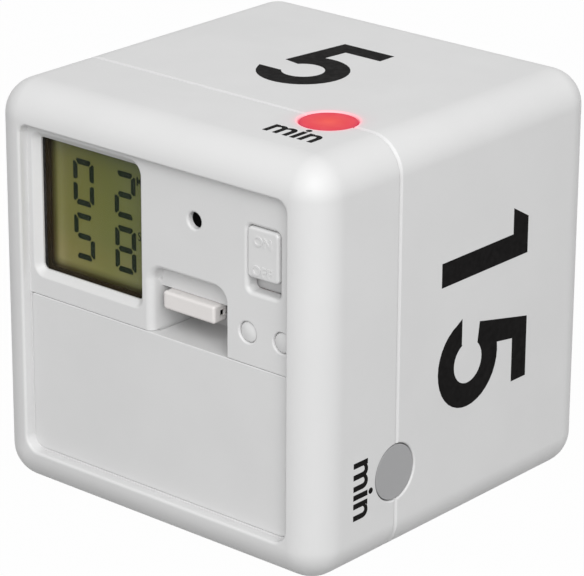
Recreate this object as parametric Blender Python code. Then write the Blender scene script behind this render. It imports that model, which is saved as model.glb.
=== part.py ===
"""A cube timer: the face that is turned up sets how many minutes it counts down.

Lengths are metres and +Z is up. The origin is the middle of the face that the cube rests on.
-Y is the control face, with the display, the switch, the two keys and the battery door.
The number faces are the top, the right side (+X), the bottom and the left side (-X).
"""

import math

import bmesh
import bpy
from mathutils import Matrix, Vector

# Clearances
SLIP_GAP = 0.00015
REST_GAP = 0.0003
LAYER_GAP = 0.00005
OVERLAP = 0.0005
OVERRUN = 0.001

# The cube's two shells
EDGE_RADIUS = 0.0054
WALL = 0.002
SEAM_GAP = 0.0001
SEAM_CHAMFER = 0.00035
RIM_LENGTH = 0.0018
RIM_THICKNESS = 0.0009

# The sunk panel of the control face
RECESS_MARGIN = 0.0058
RECESS_RADIUS = 0.0023
RECESS_DEPTH = 0.0016

# The light windows, one on each number face, and the lamps behind them
WINDOW_MARGIN = 0.0128
WINDOW_RADIUS = 0.0041
WINDOW_SUNK = 0.00025
WINDOW_CHAMFER = 0.0002
WINDOW_FLANGE_RADIUS = 0.0052
WINDOW_FLANGE = 0.001
LAMP_WIDTH = 0.003
LAMP_LENGTH = 0.0013
LAMP_HEIGHT = 0.002

# The main board, its posts and its screws
BOARD_CLEARANCE = 0.0013
BOARD_SETBACK = 0.0004
BOARD_THICKNESS = 0.0012
BOARD_MARGIN = 0.0017
POST_INSET = 0.0015
POST_RADIUS = 0.0015
BOARD_SCREW_RADIUS = 0.00065
BOARD_SCREW_LENGTH = 0.005
BOARD_SCREW_HEAD = (0.0015, 0.001)

# The two cells, and the springs and plates that join them
CELL_RADIUS = 0.0052
CELL_LENGTH = 0.0437
NUB_RADIUS = 0.0018
NUB_LENGTH = 0.0008
CELL_GAP = 0.0003
CELL_CLEARANCE = 0.0005
CELL_FRONT_CLEARANCE = 0.0011
CELL_BACK_CLEARANCE = 0.0006
CONTACT_THICKNESS = 0.0004
CONTACT_INSET = 0.0017
TAIL_HALF = 0.0008
SPRING_SMALL_RADIUS = 0.0012
SPRING_INSET = 0.001
SPRING_ROOM = 0.0024
SPRING_WIRE_RADIUS = 0.0003
SPRING_TURNS = 2.5
SPRING_POINTS_PER_TURN = 12

# The battery room in the front shell
SEAT_LAP = 0.0006
TUB_WALL = 0.0012
TUB_BACK_WALL = 0.001

# The battery door, with the hooks at its lower edge and the springy tongue at its upper edge
DOOR_THICKNESS = 0.0014
DOOR_TOP_RADIUS = 0.0005
HOOK_INSET = 0.0134
HOOK_HALF = 0.0025
HOOK_THICKNESS = 0.0009
HOOK_DROP = 0.0014
HOOK_ARM = 0.0012
TONGUE_THICKNESS = 0.0014
TONGUE_REACH = 0.0081
BEND_RADIUS = 0.0024
BEND_THICKNESS = 0.0012
BEND_HALF = 0.0045

# The finger pocket and the latch in it
POCKET_ASIDE = 0.0025
POCKET_HALF = 0.00715
POCKET_HEIGHT = 0.01
POCKET_RADIUS = 0.0023
POCKET_DEPTH = 0.0024
POCKET_WALL = 0.0008
ROOM_CLEARANCE = 0.0008
LATCH_ARM_HALF = 0.004
BAR_HALF = 0.005
BAR_HEIGHT = 0.0024
BAR_DEPTH = 0.0018
BAR_RISE = 0.0002
BAR_SETBACK = 0.0009
BAR_RADIUS = 0.0004
NOTCH_SIDE = 0.0009
NOTCH_DEPTH = 0.001

# The display
DISPLAY_SIDE_MARGIN = 0.0024
DISPLAY_TOP_MARGIN = 0.002
DISPLAY_RISE = 0.0043
DISPLAY_HALF_X = 0.0096
DISPLAY_HALF_Z = 0.00985
DISPLAY_RADIUS = 0.0012
DISPLAY_BEVEL = 0.001
DISPLAY_LIP = 0.0003
PANE_MARGIN = 0.001
PANE_THICKNESS = 0.0008
MASK_LAP = 0.0003
MASK_THICKNESS = 0.00025
GLASS_LAP = 0.0003
GLASS_RISE = 0.0007
GLASS_LEDGE = 0.00165
GLASS_THICKNESS = 0.0007
REFLECTOR_THICKNESS = 0.00015
HOLDER_WALL = 0.0008
HOLDER_RADIUS = 0.001
SHELF_WIDTH = 0.0013
SHELF_THICKNESS = 0.0008
CONTACT_STRIP_END_GAP = 0.0004
CONTACT_STRIP_INSET = 0.0001

# The sound hole and the buzzer behind it
SOUND_ASIDE = 0.00115
SOUND_DOWN = 0.0073
SOUND_RADIUS = 0.0007
SOUND_BEVEL = 0.0007
BUZZER_SEAT_DEPTH = 0.002
BUZZER_SEAT_WALL = 0.0014
BUZZER_RADIUS = 0.0075
BUZZER_THICKNESS = 0.00025
CERAMIC_RADIUS = 0.0055
CERAMIC_THICKNESS = 0.0002
WIRE_RADIUS = 0.0004
WIRE_SPAN = 0.003

# The slide switch
SWITCH_SIDE_MARGIN = 0.0052
SWITCH_ABOVE_KEYS = 0.01125
SLOT_HALF_X = 0.0029
SLOT_HALF_Z = 0.00465
SLOT_RADIUS = 0.0008
SLOT_BEVEL = 0.0006
SLIDER_GAP = 0.0002
SLIDER_PROUD = 0.0002
SLIDER_RADIUS = 0.0007
SLIDER_FLANGE = 0.0009
SLIDER_FLANGE_THICKNESS = 0.0008
SWITCH_TRAVEL = 0.0018
FORK_HALF_X = 0.0015
FORK_PRONG = 0.0014
FORK_DEPTH = 0.0012
LEVER_HALF = 0.00075
LEVER_LENGTH = 0.0029
LEVER_SEAT = 0.0003
SWITCH_BODY_HALF_X = 0.002
SWITCH_BODY_HALF_Z = 0.0045
SWITCH_BODY_HEIGHT = 0.00345

# The two keys
KEY_ASIDE = 0.0014
KEY_SIDE_MARGIN = 0.002
KEY_SPACING = 0.0062
KEY_RISE = 0.0048
KEY_RADIUS = 0.0015
KEY_SUNK = 0.0001
KEY_DOME = 0.00025
KEY_FLANGE_RADIUS = 0.0024
KEY_FLANGE_THICKNESS = 0.0006
KEY_STEM_RADIUS = 0.0011
KEY_TRAVEL = 0.0004
KEY_SWITCH_HALF = 0.00225
KEY_SWITCH_HEIGHT = 0.00315
PLUNGER_RADIUS = 0.0009
PLUNGER_SHOWN = 0.0013
PLUNGER_HIDDEN = 0.0003

# The screws that hold the two shells together, and their towers
CASE_SCREW_INSET = 0.0103
CASE_SCREW_RADIUS = 0.001
CASE_SCREW_HEAD = (0.002, 0.0012)
CASE_SCREW_BITE = 0.005
TOWER_RADIUS = 0.0026
TOWER_WEB = 0.0016
TOWER_WEB_SETBACK = 0.005

# What stands on the back of the board
CHIP_X = -0.002
CHIP_UP = 0.006
CHIP_RADIUS = 0.0055
CHIP_HEIGHT = 0.0012
CRYSTAL_X = 0.011
CRYSTAL_UP = 0.003
CRYSTAL_RADIUS = 0.001
CRYSTAL_LENGTH = 0.0062
CAPACITOR_X = -0.016
CAPACITOR_UP = -0.001
CAPACITOR_RADIUS = 0.002
CAPACITOR_HEIGHT = 0.005
TILT_X = 0.006
TILT_UP = 0.0033
TILT_RADIUS = 0.0022
TILT_WALL = 0.0005
TILT_BALL_RADIUS = 0.0015
TILT_TRAVEL = 0.0015
TILT_PLUG = 0.001
TILT_CAP = 0.0006
TILT_PIN_RADIUS = 0.0003

# Worked out from the sizes above: the door and the cells, from the bottom up
DOOR_BOTTOM = RECESS_MARGIN + REST_GAP
LOWER_CELL_Z = DOOR_BOTTOM + SEAT_LAP + CELL_CLEARANCE + CELL_RADIUS
UPPER_CELL_Z = LOWER_CELL_Z + CELL_RADIUS + CELL_GAP + CELL_RADIUS
DOOR_TOP = UPPER_CELL_Z + CELL_RADIUS + CELL_CLEARANCE + TONGUE_THICKNESS

# The recess has the side that its cells, and the width and the height of its upper panel, need
CONTACT_ROOM = REST_GAP + SEAT_LAP + SLIP_GAP + CONTACT_THICKNESS + REST_GAP
SIDE_FOR_CELLS = CELL_LENGTH + NUB_LENGTH + SPRING_ROOM + 2 * CONTACT_ROOM
KEYS_WIDTH = KEY_ASIDE + KEY_FLANGE_RADIUS + KEY_SPACING + KEY_SIDE_MARGIN
SIDE_FOR_WIDTH = DISPLAY_SIDE_MARGIN + 2 * (DISPLAY_HALF_X + POCKET_HALF) + POCKET_ASIDE + KEYS_WIDTH
SIDE_FOR_HEIGHT = DOOR_TOP - RECESS_MARGIN + DISPLAY_RISE + 2 * DISPLAY_HALF_Z + DISPLAY_TOP_MARGIN
RECESS_HALF = max(SIDE_FOR_CELLS, SIDE_FOR_WIDTH, SIDE_FOR_HEIGHT) / 2

# The shells, from half of the cube's side
HALF = RECESS_HALF + RECESS_MARGIN
INNER_HALF = HALF - WALL
INNER_RADIUS = EDGE_RADIUS - WALL
WINDOW_OFFSET = HALF - WINDOW_MARGIN
FACE_Y = -HALF
RECESS_TOP = HALF + RECESS_HALF
PANEL_Y = FACE_Y + RECESS_DEPTH
PANEL_BACK_Y = PANEL_Y + WALL
FLOOR_Z = WALL

# The door and the battery room, across and from the front back
DOOR_HALF = RECESS_HALF - REST_GAP
DOOR_BACK_Y = PANEL_Y + DOOR_THICKNESS
HOOK_X = DOOR_HALF - HOOK_INSET
CELL_Y = DOOR_BACK_Y + CELL_FRONT_CLEARANCE + CELL_RADIUS
TUB_HALF = DOOR_HALF - SEAT_LAP
TUB_FLOOR = DOOR_BOTTOM + SEAT_LAP
TUB_CEILING = DOOR_TOP - SEAT_LAP
TUB_BACK_Y = CELL_Y + CELL_RADIUS + CELL_BACK_CLEARANCE
TUB_END_Y = TUB_BACK_Y + TUB_BACK_WALL
SPRING_LARGE_RADIUS = CELL_RADIUS - SPRING_INSET
CONTACT_HALF = CELL_RADIUS - CONTACT_INSET
CONTACT_X = TUB_HALF - SLIP_GAP - CONTACT_THICKNESS
CASE_SCREW_X = TUB_HALF - CASE_SCREW_INSET
CASE_SCREW_Z = (LOWER_CELL_Z + UPPER_CELL_Z) / 2

# The board behind the battery room, and the seam between the shells
BOARD_Y = TUB_END_Y + BOARD_CLEARANCE
SEAM_Y = BOARD_Y - BOARD_SETBACK
BOARD_BACK_Y = BOARD_Y + BOARD_THICKNESS
BOARD_HALF = INNER_HALF - BOARD_MARGIN
POST_OFFSET = BOARD_HALF - POST_INSET
POST_END_Y = BOARD_Y - SLIP_GAP

# The tongue, the latch and the room behind the pocket
LATCH_X = DISPLAY_SIDE_MARGIN + 2 * DISPLAY_HALF_X + POCKET_ASIDE + POCKET_HALF - RECESS_HALF
BEND_Y = PANEL_Y + TONGUE_REACH
BEND_Z = DOOR_TOP - TONGUE_THICKNESS / 2 + BEND_RADIUS
BEND_END_Z = BEND_Z + BEND_RADIUS
LATCH_HINGE_Y = BEND_Y - SLIP_GAP
BAR_Y = PANEL_Y + BAR_SETBACK
BAR_BOTTOM = BEND_END_Z + BAR_RISE
ROOM_TOP = BAR_BOTTOM + BAR_HEIGHT + REST_GAP
ROOM_HALF = POCKET_HALF - SLIP_GAP
ROOM_END_Y = BEND_Y + BEND_RADIUS + BEND_THICKNESS / 2 + ROOM_CLEARANCE
TONGUE_HALF = ROOM_HALF - REST_GAP
POCKET_Y = PANEL_Y + POCKET_DEPTH

# The display's place, and its layers from the front
DISPLAY_X = DISPLAY_SIDE_MARGIN + DISPLAY_HALF_X - RECESS_HALF
DISPLAY_Z = RECESS_TOP - DISPLAY_TOP_MARGIN - DISPLAY_HALF_Z
DISPLAY_SEAT_Y = PANEL_Y + DISPLAY_BEVEL + DISPLAY_LIP
PANE_Y = DISPLAY_SEAT_Y + SLIP_GAP
MASK_Y = PANE_Y + PANE_THICKNESS + LAYER_GAP
FRONT_GLASS_Y = MASK_Y + MASK_THICKNESS + LAYER_GAP
REAR_GLASS_Y = FRONT_GLASS_Y + GLASS_THICKNESS + LAYER_GAP
REFLECTOR_Y = REAR_GLASS_Y + GLASS_THICKNESS + LAYER_GAP
SHELF_Y = REFLECTOR_Y + REFLECTOR_THICKNESS + SLIP_GAP
HOLDER_Y = MASK_Y + MASK_THICKNESS + SLIP_GAP
GLASS_HALF_X = DISPLAY_HALF_X + GLASS_LAP
GLASS_HALF_Z = DISPLAY_HALF_Z + GLASS_RISE
REAR_GLASS_HALF_Z = GLASS_HALF_Z - GLASS_LEDGE
CONTACT_STRIP_HALF_X = GLASS_HALF_X - CONTACT_STRIP_END_GAP

# The sound hole, the switch and the keys
SOUND_X = LATCH_X + SOUND_ASIDE
SOUND_Z = RECESS_TOP - SOUND_DOWN
BUZZER_Y = PANEL_BACK_Y + BUZZER_SEAT_DEPTH + REST_GAP
CERAMIC_Y = BUZZER_Y + BUZZER_THICKNESS + SLIP_GAP
KEY_Z = DOOR_TOP + KEY_RISE
RIGHT_KEY_X = RECESS_HALF - KEY_SIDE_MARGIN
KEY_PLACES = (("left", RIGHT_KEY_X - KEY_SPACING), ("right", RIGHT_KEY_X))
SWITCH_X = RECESS_HALF - SWITCH_SIDE_MARGIN
SWITCH_Z = KEY_Z + SWITCH_ABOVE_KEYS
SLIDER_HALF_X = SLOT_HALF_X - SLIDER_GAP
SLIDER_HALF_Z = SLOT_HALF_Z - SLIDER_GAP - SWITCH_TRAVEL / 2
SLIDER_Z = SWITCH_Z + SWITCH_TRAVEL / 2
SWITCH_BODY_Y = BOARD_Y - SLIP_GAP - SWITCH_BODY_HEIGHT
LEVER_TIP_Y = SWITCH_BODY_Y + LEVER_SEAT - LEVER_LENGTH
KEY_HOLE_RADIUS = KEY_RADIUS + SLIP_GAP
KEY_SWITCH_Y = BOARD_Y - SLIP_GAP - KEY_SWITCH_HEIGHT
PLUNGER_Y = KEY_SWITCH_Y - PLUNGER_SHOWN

# Placements take a point (across, up, along) of a drawn outline to the object's own axes
FROM_FRONT = Matrix(((1, 0, 0, 0), (0, 0, 1, 0), (0, 1, 0, 0), (0, 0, 0, 1)))
FROM_SIDE = Matrix(((0, 0, 1, 0), (1, 0, 0, 0), (0, 1, 0, 0), (0, 0, 0, 1)))
NUMBER_FACES = (5, 15, 30, 60)

CORNER_STEPS = 6
ROUND_SIDES = 20
SMALL_ROUND_SIDES = 12
SMOOTH_BELOW = math.radians(35)

# Colour, roughness and metallic value of each finish
FINISHES = {
    "white_plastic": ((0.80, 0.80, 0.80), 0.40, 0.0),
    "latch_plastic": ((0.79, 0.76, 0.73), 0.40, 0.0),
    "window_plastic": ((0.42, 0.42, 0.42), 0.45, 0.0),
    "clear_plastic": ((0.90, 0.91, 0.88), 0.08, 0.0),
    "black_film": ((0.02, 0.02, 0.02), 0.50, 0.0),
    "display_glass": ((0.35, 0.38, 0.20), 0.15, 0.0),
    "reflector_film": ((0.45, 0.47, 0.25), 0.35, 0.3),
    "rubber_strip": ((0.10, 0.10, 0.11), 0.70, 0.0),
    "board_green": ((0.03, 0.20, 0.09), 0.45, 0.0),
    "chip_resin": ((0.01, 0.01, 0.01), 0.25, 0.0),
    "steel": ((0.60, 0.60, 0.60), 0.30, 1.0),
    "nickel": ((0.70, 0.68, 0.64), 0.25, 1.0),
    "brass": ((0.72, 0.53, 0.22), 0.30, 1.0),
    "ceramic": ((0.82, 0.80, 0.74), 0.50, 0.0),
    "cell_wrap": ((0.05, 0.06, 0.08), 0.30, 0.0),
    "wire_red": ((0.55, 0.03, 0.02), 0.45, 0.0),
    "wire_black": ((0.02, 0.02, 0.02), 0.45, 0.0),
    "lamp_resin": ((0.80, 0.78, 0.70), 0.35, 0.0),
    "black_plastic": ((0.03, 0.03, 0.03), 0.45, 0.0),
}


def rounded_rectangle(left, right, bottom, top, radii, steps=CORNER_STEPS):
    """Anticlockwise points. The radii are those of the lower right corner and the next three."""
    corners = ((right, bottom), (right, top), (left, top), (left, bottom))
    points = []
    for turn, ((x, y), radius) in enumerate(zip(corners, radii)):
        middle_x = x - radius if x == right else x + radius
        middle_y = y - radius if y == top else y + radius
        for step in range(steps + 1):
            angle = math.pi / 2 * (turn - 1 + step / steps)
            points.append((middle_x + radius * math.cos(angle), middle_y + radius * math.sin(angle)))
    return points


def rectangle(left, right, bottom, top):
    return [(right, bottom), (right, top), (left, top), (left, bottom)]


def block_outline(x, z, half_x, half_z):
    return rectangle(x - half_x, x + half_x, z - half_z, z + half_z)


def rounded_block(x, z, half_x, half_z, radius):
    return rounded_rectangle(x - half_x, x + half_x, z - half_z, z + half_z, (radius,) * 4)


def cube_section(half, radius):
    """A rounded square about the cube's middle, seen from the front."""
    return rounded_block(0, HALF, half, half, radius)


def circle(radius, x=0, y=0, sides=ROUND_SIDES):
    angles = [math.tau * side / sides for side in range(sides)]
    return [(x + radius * math.cos(angle), y + radius * math.sin(angle)) for angle in angles]


def display_outline(half_x, half_z, radius):
    return rounded_block(DISPLAY_X, DISPLAY_Z, half_x, half_z, radius)


def prism(outline, start, end, place=FROM_FRONT):
    return [(outline, start), (outline, end)], place, False


def tube(outer, inner, start, end, place=FROM_FRONT):
    """A prism with a hole through it. Both outlines have as many points."""
    return [(outer, start), (outer, end), (inner, end), (inner, start)], place, True


def loft(layers, place=FROM_FRONT):
    return layers, place, False


def turned(profile, x, y, place=FROM_FRONT, sides=ROUND_SIDES):
    """A solid of revolution from (radius, place along the axis) pairs."""
    return [(circle(radius, x, y, sides), along) for radius, along in profile], place, False


def add_shape(mesh, shape):
    """Skins an outline from layer to layer, and closes the ends unless the layers run round."""
    layers, place, runs_round = shape
    rings = [
        [mesh.verts.new(place @ Vector((across, up, along))) for across, up in outline]
        for outline, along in layers
    ]
    pairs = list(zip(rings, rings[1:]))
    if runs_round:
        pairs.append((rings[-1], rings[0]))
    else:
        mesh.faces.new(rings[0])
        mesh.faces.new(rings[-1])
    for ring, following in pairs:
        for index in range(len(ring)):
            mesh.faces.new((ring[index - 1], ring[index], following[index], following[index - 1]))


def finish_material(finish):
    """The material of this name, made the first time that it is asked for."""
    found = bpy.data.materials.get(finish)
    if found:
        return found
    colour, roughness, metallic = FINISHES[finish]
    made = bpy.data.materials.new(finish)
    made.use_nodes = True
    shader = made.node_tree.nodes["Principled BSDF"]
    shader.inputs["Base Color"].default_value = (*colour, 1)
    shader.inputs["Roughness"].default_value = roughness
    shader.inputs["Metallic"].default_value = metallic
    made.diffuse_color = (*colour, 1)
    return made


def settle(item, finish, body):
    """Gives an object its finish and hangs it on its body, where it already is."""
    item.data.materials.append(finish_material(finish))
    item.parent = body
    item.location = -body.location
    bpy.context.scene.collection.objects.link(item)
    return item


def piece(name, shapes, finish, body):
    """One object from shapes that lie apart, drawn in the cube's own axes."""
    builder = bmesh.new()
    for shape in shapes:
        add_shape(builder, shape)
    bmesh.ops.remove_doubles(builder, verts=builder.verts, dist=LAYER_GAP / 100)
    bmesh.ops.recalc_face_normals(builder, faces=builder.faces)
    data = bpy.data.meshes.new(name)
    builder.to_mesh(data)
    builder.free()
    data.shade_smooth()
    data.set_sharp_from_angle(angle=SMOOTH_BELOW)
    return settle(bpy.data.objects.new(name, data), finish, body)


def combine(target, operation, name, *shapes):
    """Joins shapes to an object, or cuts them out of it, with one Boolean and a hidden tool."""
    tool = piece(target.name + "_" + name, shapes, "white_plastic", target.parent)
    tool.hide_render = True
    tool.display_type = "WIRE"
    modifier = target.modifiers.new(name, "BOOLEAN")
    modifier.operation = operation
    modifier.solver = "EXACT"
    modifier.object = tool
    return tool


def join(target, name, *shapes):
    return combine(target, "UNION", name, *shapes)


def cut(target, name, *shapes):
    return combine(target, "DIFFERENCE", name, *shapes)


def wire(name, points, radius, finish, body, resolution=1):
    """A round wire along the points, with closed ends."""
    data = bpy.data.curves.new(name, "CURVE")
    data.dimensions = "3D"
    data.bevel_depth = radius
    data.bevel_resolution = resolution
    data.use_fill_caps = True
    spline = data.splines.new("POLY")
    spline.points.add(len(points) - 1)
    for slot, point in zip(spline.points, points):
        slot.co = (*point, 1)
    return settle(bpy.data.objects.new(name, data), finish, body)


def new_body(name, x=0, y=0, z=0):
    """An empty on a moving group's joint axis. The pieces that move together hang on it."""
    body = bpy.data.objects.new(name, None)
    body.empty_display_size = WALL
    body.location = (x, y, z)
    bpy.context.scene.collection.objects.link(body)
    return body


def face_place(turn):
    """Across is a number's reading direction, up is away from the control face, along is outward."""
    middle = Matrix.Translation((0, 0, HALF))
    return middle @ Matrix.Rotation(turn * math.pi / 2, 4, "Y")


def edge_layers():
    """Sections of the rounded end of a cube, from its flat face: (distance in, half side, radius)."""
    for step in range(CORNER_STEPS + 1):
        angle = math.pi / 2 * step / CORNER_STEPS
        reach = EDGE_RADIUS * math.sin(angle)
        yield EDGE_RADIUS * (1 - math.cos(angle)), HALF - EDGE_RADIUS + reach, reach


def window_holes():
    """Round cutters through the walls where the light windows sit."""
    start = INNER_HALF - WALL
    outline = circle(WINDOW_RADIUS + SLIP_GAP, WINDOW_OFFSET, SEAM_Y)
    return [prism(outline, start, HALF + OVERRUN, face_place(turn)) for turn in range(len(NUMBER_FACES))]


def post_places():
    return [(side * POST_OFFSET, HALF + end * POST_OFFSET) for side in (-1, 1) for end in (-1, 1)]


def case_screw_places():
    return [(side * CASE_SCREW_X, CASE_SCREW_Z) for side in (-1, 1)]


def pocket_span(half):
    return LATCH_X - half, LATCH_X + half


def make_front_shell(body):
    """The control face with its panel, the battery room, the latch room and the board's posts."""
    layers = [(cube_section(half, radius), FACE_Y + depth) for depth, half, radius in edge_layers()]
    layers.append((cube_section(HALF, EDGE_RADIUS), SEAM_Y))
    shell = piece("front_shell", [loft(layers)], "white_plastic", body)
    rim_half = INNER_HALF + RIM_THICKNESS
    rim_radius = INNER_RADIUS + RIM_THICKNESS
    rim_end = SEAM_Y + RIM_LENGTH
    join(shell, "rim", prism(cube_section(rim_half, rim_radius), SEAM_Y - OVERLAP, rim_end))
    inside = cube_section(INNER_HALF, INNER_RADIUS)
    cut(shell, "hollow", prism(inside, PANEL_BACK_Y, rim_end + OVERRUN))
    cut_panel(shell)
    join_fittings(shell)
    cut_battery_room(shell)
    cut_controls(shell)
    cut(shell, "window_holes", *window_holes())
    return shell


def cut_panel(shell):
    """Sinks the whole recess to the door's seat, then puts the upper panel back."""
    seat_y = DOOR_BACK_Y + REST_GAP
    outline = cube_section(RECESS_HALF, RECESS_RADIUS)
    cut(shell, "recess", prism(outline, FACE_Y - OVERRUN, seat_y))
    half = RECESS_HALF + OVERLAP
    panel = rectangle(-half, half, DOOR_TOP + REST_GAP, HALF + half)
    join(shell, "panel", prism(panel, PANEL_Y, PANEL_BACK_Y - SLIP_GAP))


def join_fittings(shell):
    """Everything that stands on the back of the panel."""
    start = PANEL_BACK_Y - OVERLAP
    tub_half = TUB_HALF + TUB_WALL
    tub = rectangle(-tub_half, tub_half, TUB_FLOOR - TUB_WALL, TUB_CEILING + TUB_WALL)
    join(shell, "tub", prism(tub, start, TUB_END_Y))
    left, right = pocket_span(POCKET_HALF + POCKET_WALL)
    scoop_top = DOOR_TOP + POCKET_HEIGHT + POCKET_WALL
    scoop = rectangle(left, right, TUB_CEILING, scoop_top)
    join(shell, "scoop_wall", prism(scoop, start, POCKET_Y + POCKET_WALL))
    left, right = pocket_span(ROOM_HALF + POCKET_WALL)
    room = rectangle(left, right, TUB_CEILING, ROOM_TOP + POCKET_WALL)
    join(shell, "latch_room_wall", prism(room, start, ROOM_END_Y + POCKET_WALL))
    seat_half = BUZZER_RADIUS + SLIP_GAP
    outer = circle(seat_half, SOUND_X, SOUND_Z)
    inner = circle(seat_half - BUZZER_SEAT_WALL, SOUND_X, SOUND_Z)
    join(shell, "buzzer_seat", tube(outer, inner, start, PANEL_BACK_Y + BUZZER_SEAT_DEPTH))
    posts = [circle(POST_RADIUS, x, z, SMALL_ROUND_SIDES) for x, z in post_places()]
    join(shell, "posts", *[prism(post, start, POST_END_Y) for post in posts])
    pilots = [circle(BOARD_SCREW_RADIUS + SLIP_GAP, x, z, SMALL_ROUND_SIDES) for x, z in post_places()]
    pilot_start = POST_END_Y - BOARD_SCREW_LENGTH - OVERRUN
    cut(shell, "pilots", *[prism(pilot, pilot_start, POST_END_Y + OVERRUN) for pilot in pilots])


def cut_battery_room(shell):
    """The cells' room, the latch room over it, and the ways through its walls."""
    tub = rectangle(-TUB_HALF, TUB_HALF, TUB_FLOOR, TUB_CEILING)
    cut(shell, "cell_room", prism(tub, PANEL_Y - OVERRUN, TUB_BACK_Y))
    left, right = pocket_span(ROOM_HALF)
    room = rectangle(left, right, TUB_CEILING - OVERRUN, ROOM_TOP)
    cut(shell, "latch_room", prism(room, PANEL_Y - OVERRUN, ROOM_END_Y))
    left, right = pocket_span(POCKET_HALF)
    radii = (0, POCKET_RADIUS, POCKET_RADIUS, 0)
    pocket = rounded_rectangle(left, right, DOOR_TOP, DOOR_TOP + POCKET_HEIGHT, radii)
    cut(shell, "pocket", prism(pocket, PANEL_Y - OVERRUN, POCKET_Y))
    screw_hole = CASE_SCREW_RADIUS + REST_GAP
    back_start = TUB_BACK_Y - OVERRUN
    back_end = TUB_END_Y + OVERRUN
    holes = [circle(screw_hole, x, z, SMALL_ROUND_SIDES) for x, z in case_screw_places()]
    cut(shell, "case_screw_holes", *[prism(hole, back_start, back_end) for hole in holes])
    cut_hook_slots(shell)
    tail_half_x = TUB_HALF - CONTACT_X + REST_GAP
    tails = [
        block_outline(TUB_HALF - tail_half_x, z, tail_half_x - LAYER_GAP, TAIL_HALF + REST_GAP)
        for z in (LOWER_CELL_Z, UPPER_CELL_Z)
    ]
    cut(shell, "tail_slots", *[prism(tail, back_start, back_end) for tail in tails])


def cut_hook_slots(shell):
    """Slots in the battery room's floor, deep enough for the hooks to swing through."""
    hook_back = PANEL_BACK_Y + REST_GAP + HOOK_THICKNESS
    hook_end = RECESS_MARGIN - HOOK_DROP
    swing = math.hypot(hook_back - PANEL_Y, DOOR_BOTTOM - hook_end)
    slot_end = PANEL_Y + swing + REST_GAP
    bottom = TUB_FLOOR - TUB_WALL - OVERRUN
    slots = [
        rectangle(x - HOOK_HALF - REST_GAP, x + HOOK_HALF + REST_GAP, bottom, TUB_FLOOR + OVERRUN)
        for x in (-HOOK_X, HOOK_X)
    ]
    cut(shell, "hook_slots", *[prism(slot, PANEL_BACK_Y, slot_end) for slot in slots])


def cut_controls(shell):
    """The openings of the upper panel: display, sound hole, switch slot and key holes."""
    front = PANEL_Y - OVERRUN
    back = PANEL_BACK_Y + OVERRUN
    wide = DISPLAY_BEVEL + OVERRUN
    pane = PANE_MARGIN + SLIP_GAP
    bevel_end = PANEL_Y + DISPLAY_BEVEL
    opening = display_outline(DISPLAY_HALF_X, DISPLAY_HALF_Z, DISPLAY_RADIUS)
    seat = display_outline(DISPLAY_HALF_X + pane, DISPLAY_HALF_Z + pane, DISPLAY_RADIUS)
    mouth = display_outline(DISPLAY_HALF_X + wide, DISPLAY_HALF_Z + wide, DISPLAY_RADIUS + wide)
    layers = [(mouth, front), (opening, bevel_end), (opening, DISPLAY_SEAT_Y)]
    layers += [(seat, DISPLAY_SEAT_Y), (seat, back)]
    cut(shell, "display_opening", loft(layers))
    wide = SOUND_RADIUS + SOUND_BEVEL + OVERRUN
    profile = [(wide, front), (SOUND_RADIUS, PANEL_Y + SOUND_BEVEL), (SOUND_RADIUS, back)]
    cut(shell, "sound_hole", turned(profile, SOUND_X, SOUND_Z))
    wide = SLOT_BEVEL + OVERRUN
    slot = rounded_block(SWITCH_X, SWITCH_Z, SLOT_HALF_X, SLOT_HALF_Z, SLOT_RADIUS)
    mouth = rounded_block(SWITCH_X, SWITCH_Z, SLOT_HALF_X + wide, SLOT_HALF_Z + wide, SLOT_RADIUS + wide)
    cut(shell, "switch_slot", loft([(mouth, front), (slot, PANEL_Y + SLOT_BEVEL), (slot, back)]))
    holes = [prism(circle(KEY_HOLE_RADIUS, x, KEY_Z), front, back) for _, x in KEY_PLACES]
    cut(shell, "key_holes", *holes)


def make_rear_shell(body):
    """The other four fifths of the cube, with the towers that the case screws bite into."""
    start = SEAM_Y + SEAM_GAP
    layers = [
        (cube_section(HALF - SEAM_CHAMFER, EDGE_RADIUS - SEAM_CHAMFER), start),
        (cube_section(HALF, EDGE_RADIUS), start + SEAM_CHAMFER),
    ]
    rounded_end = [(cube_section(half, radius), HALF - depth) for depth, half, radius in edge_layers()]
    shell = piece("rear_shell", [loft(layers + rounded_end[::-1])], "white_plastic", body)
    cut(shell, "hollow", prism(cube_section(INNER_HALF, INNER_RADIUS), start - OVERRUN, INNER_HALF))
    groove = INNER_HALF + RIM_THICKNESS + SLIP_GAP
    groove_outline = cube_section(groove, INNER_RADIUS + RIM_THICKNESS + SLIP_GAP)
    cut(shell, "groove", prism(groove_outline, start - OVERRUN, SEAM_Y + RIM_LENGTH + REST_GAP))
    tower_start = BOARD_BACK_Y + REST_GAP
    tower_end = INNER_HALF + OVERLAP
    towers = [circle(TOWER_RADIUS, x, z, SMALL_ROUND_SIDES) for x, z in case_screw_places()]
    join(shell, "towers", *[prism(tower, tower_start, tower_end) for tower in towers])
    webs = [
        rectangle(x - TOWER_WEB / 2, x + TOWER_WEB / 2, FLOOR_Z - SLIP_GAP, z)
        for x, z in case_screw_places()
    ]
    join(shell, "webs", *[prism(web, tower_start + TOWER_WEB_SETBACK, tower_end) for web in webs])
    holes = [circle(CASE_SCREW_RADIUS + SLIP_GAP, x, z, SMALL_ROUND_SIDES) for x, z in case_screw_places()]
    hole_end = tower_start + CASE_SCREW_BITE + OVERRUN
    cut(shell, "screw_holes", *[prism(hole, tower_start - OVERRUN, hole_end) for hole in holes])
    cut(shell, "window_holes", *window_holes())
    return shell


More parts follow.
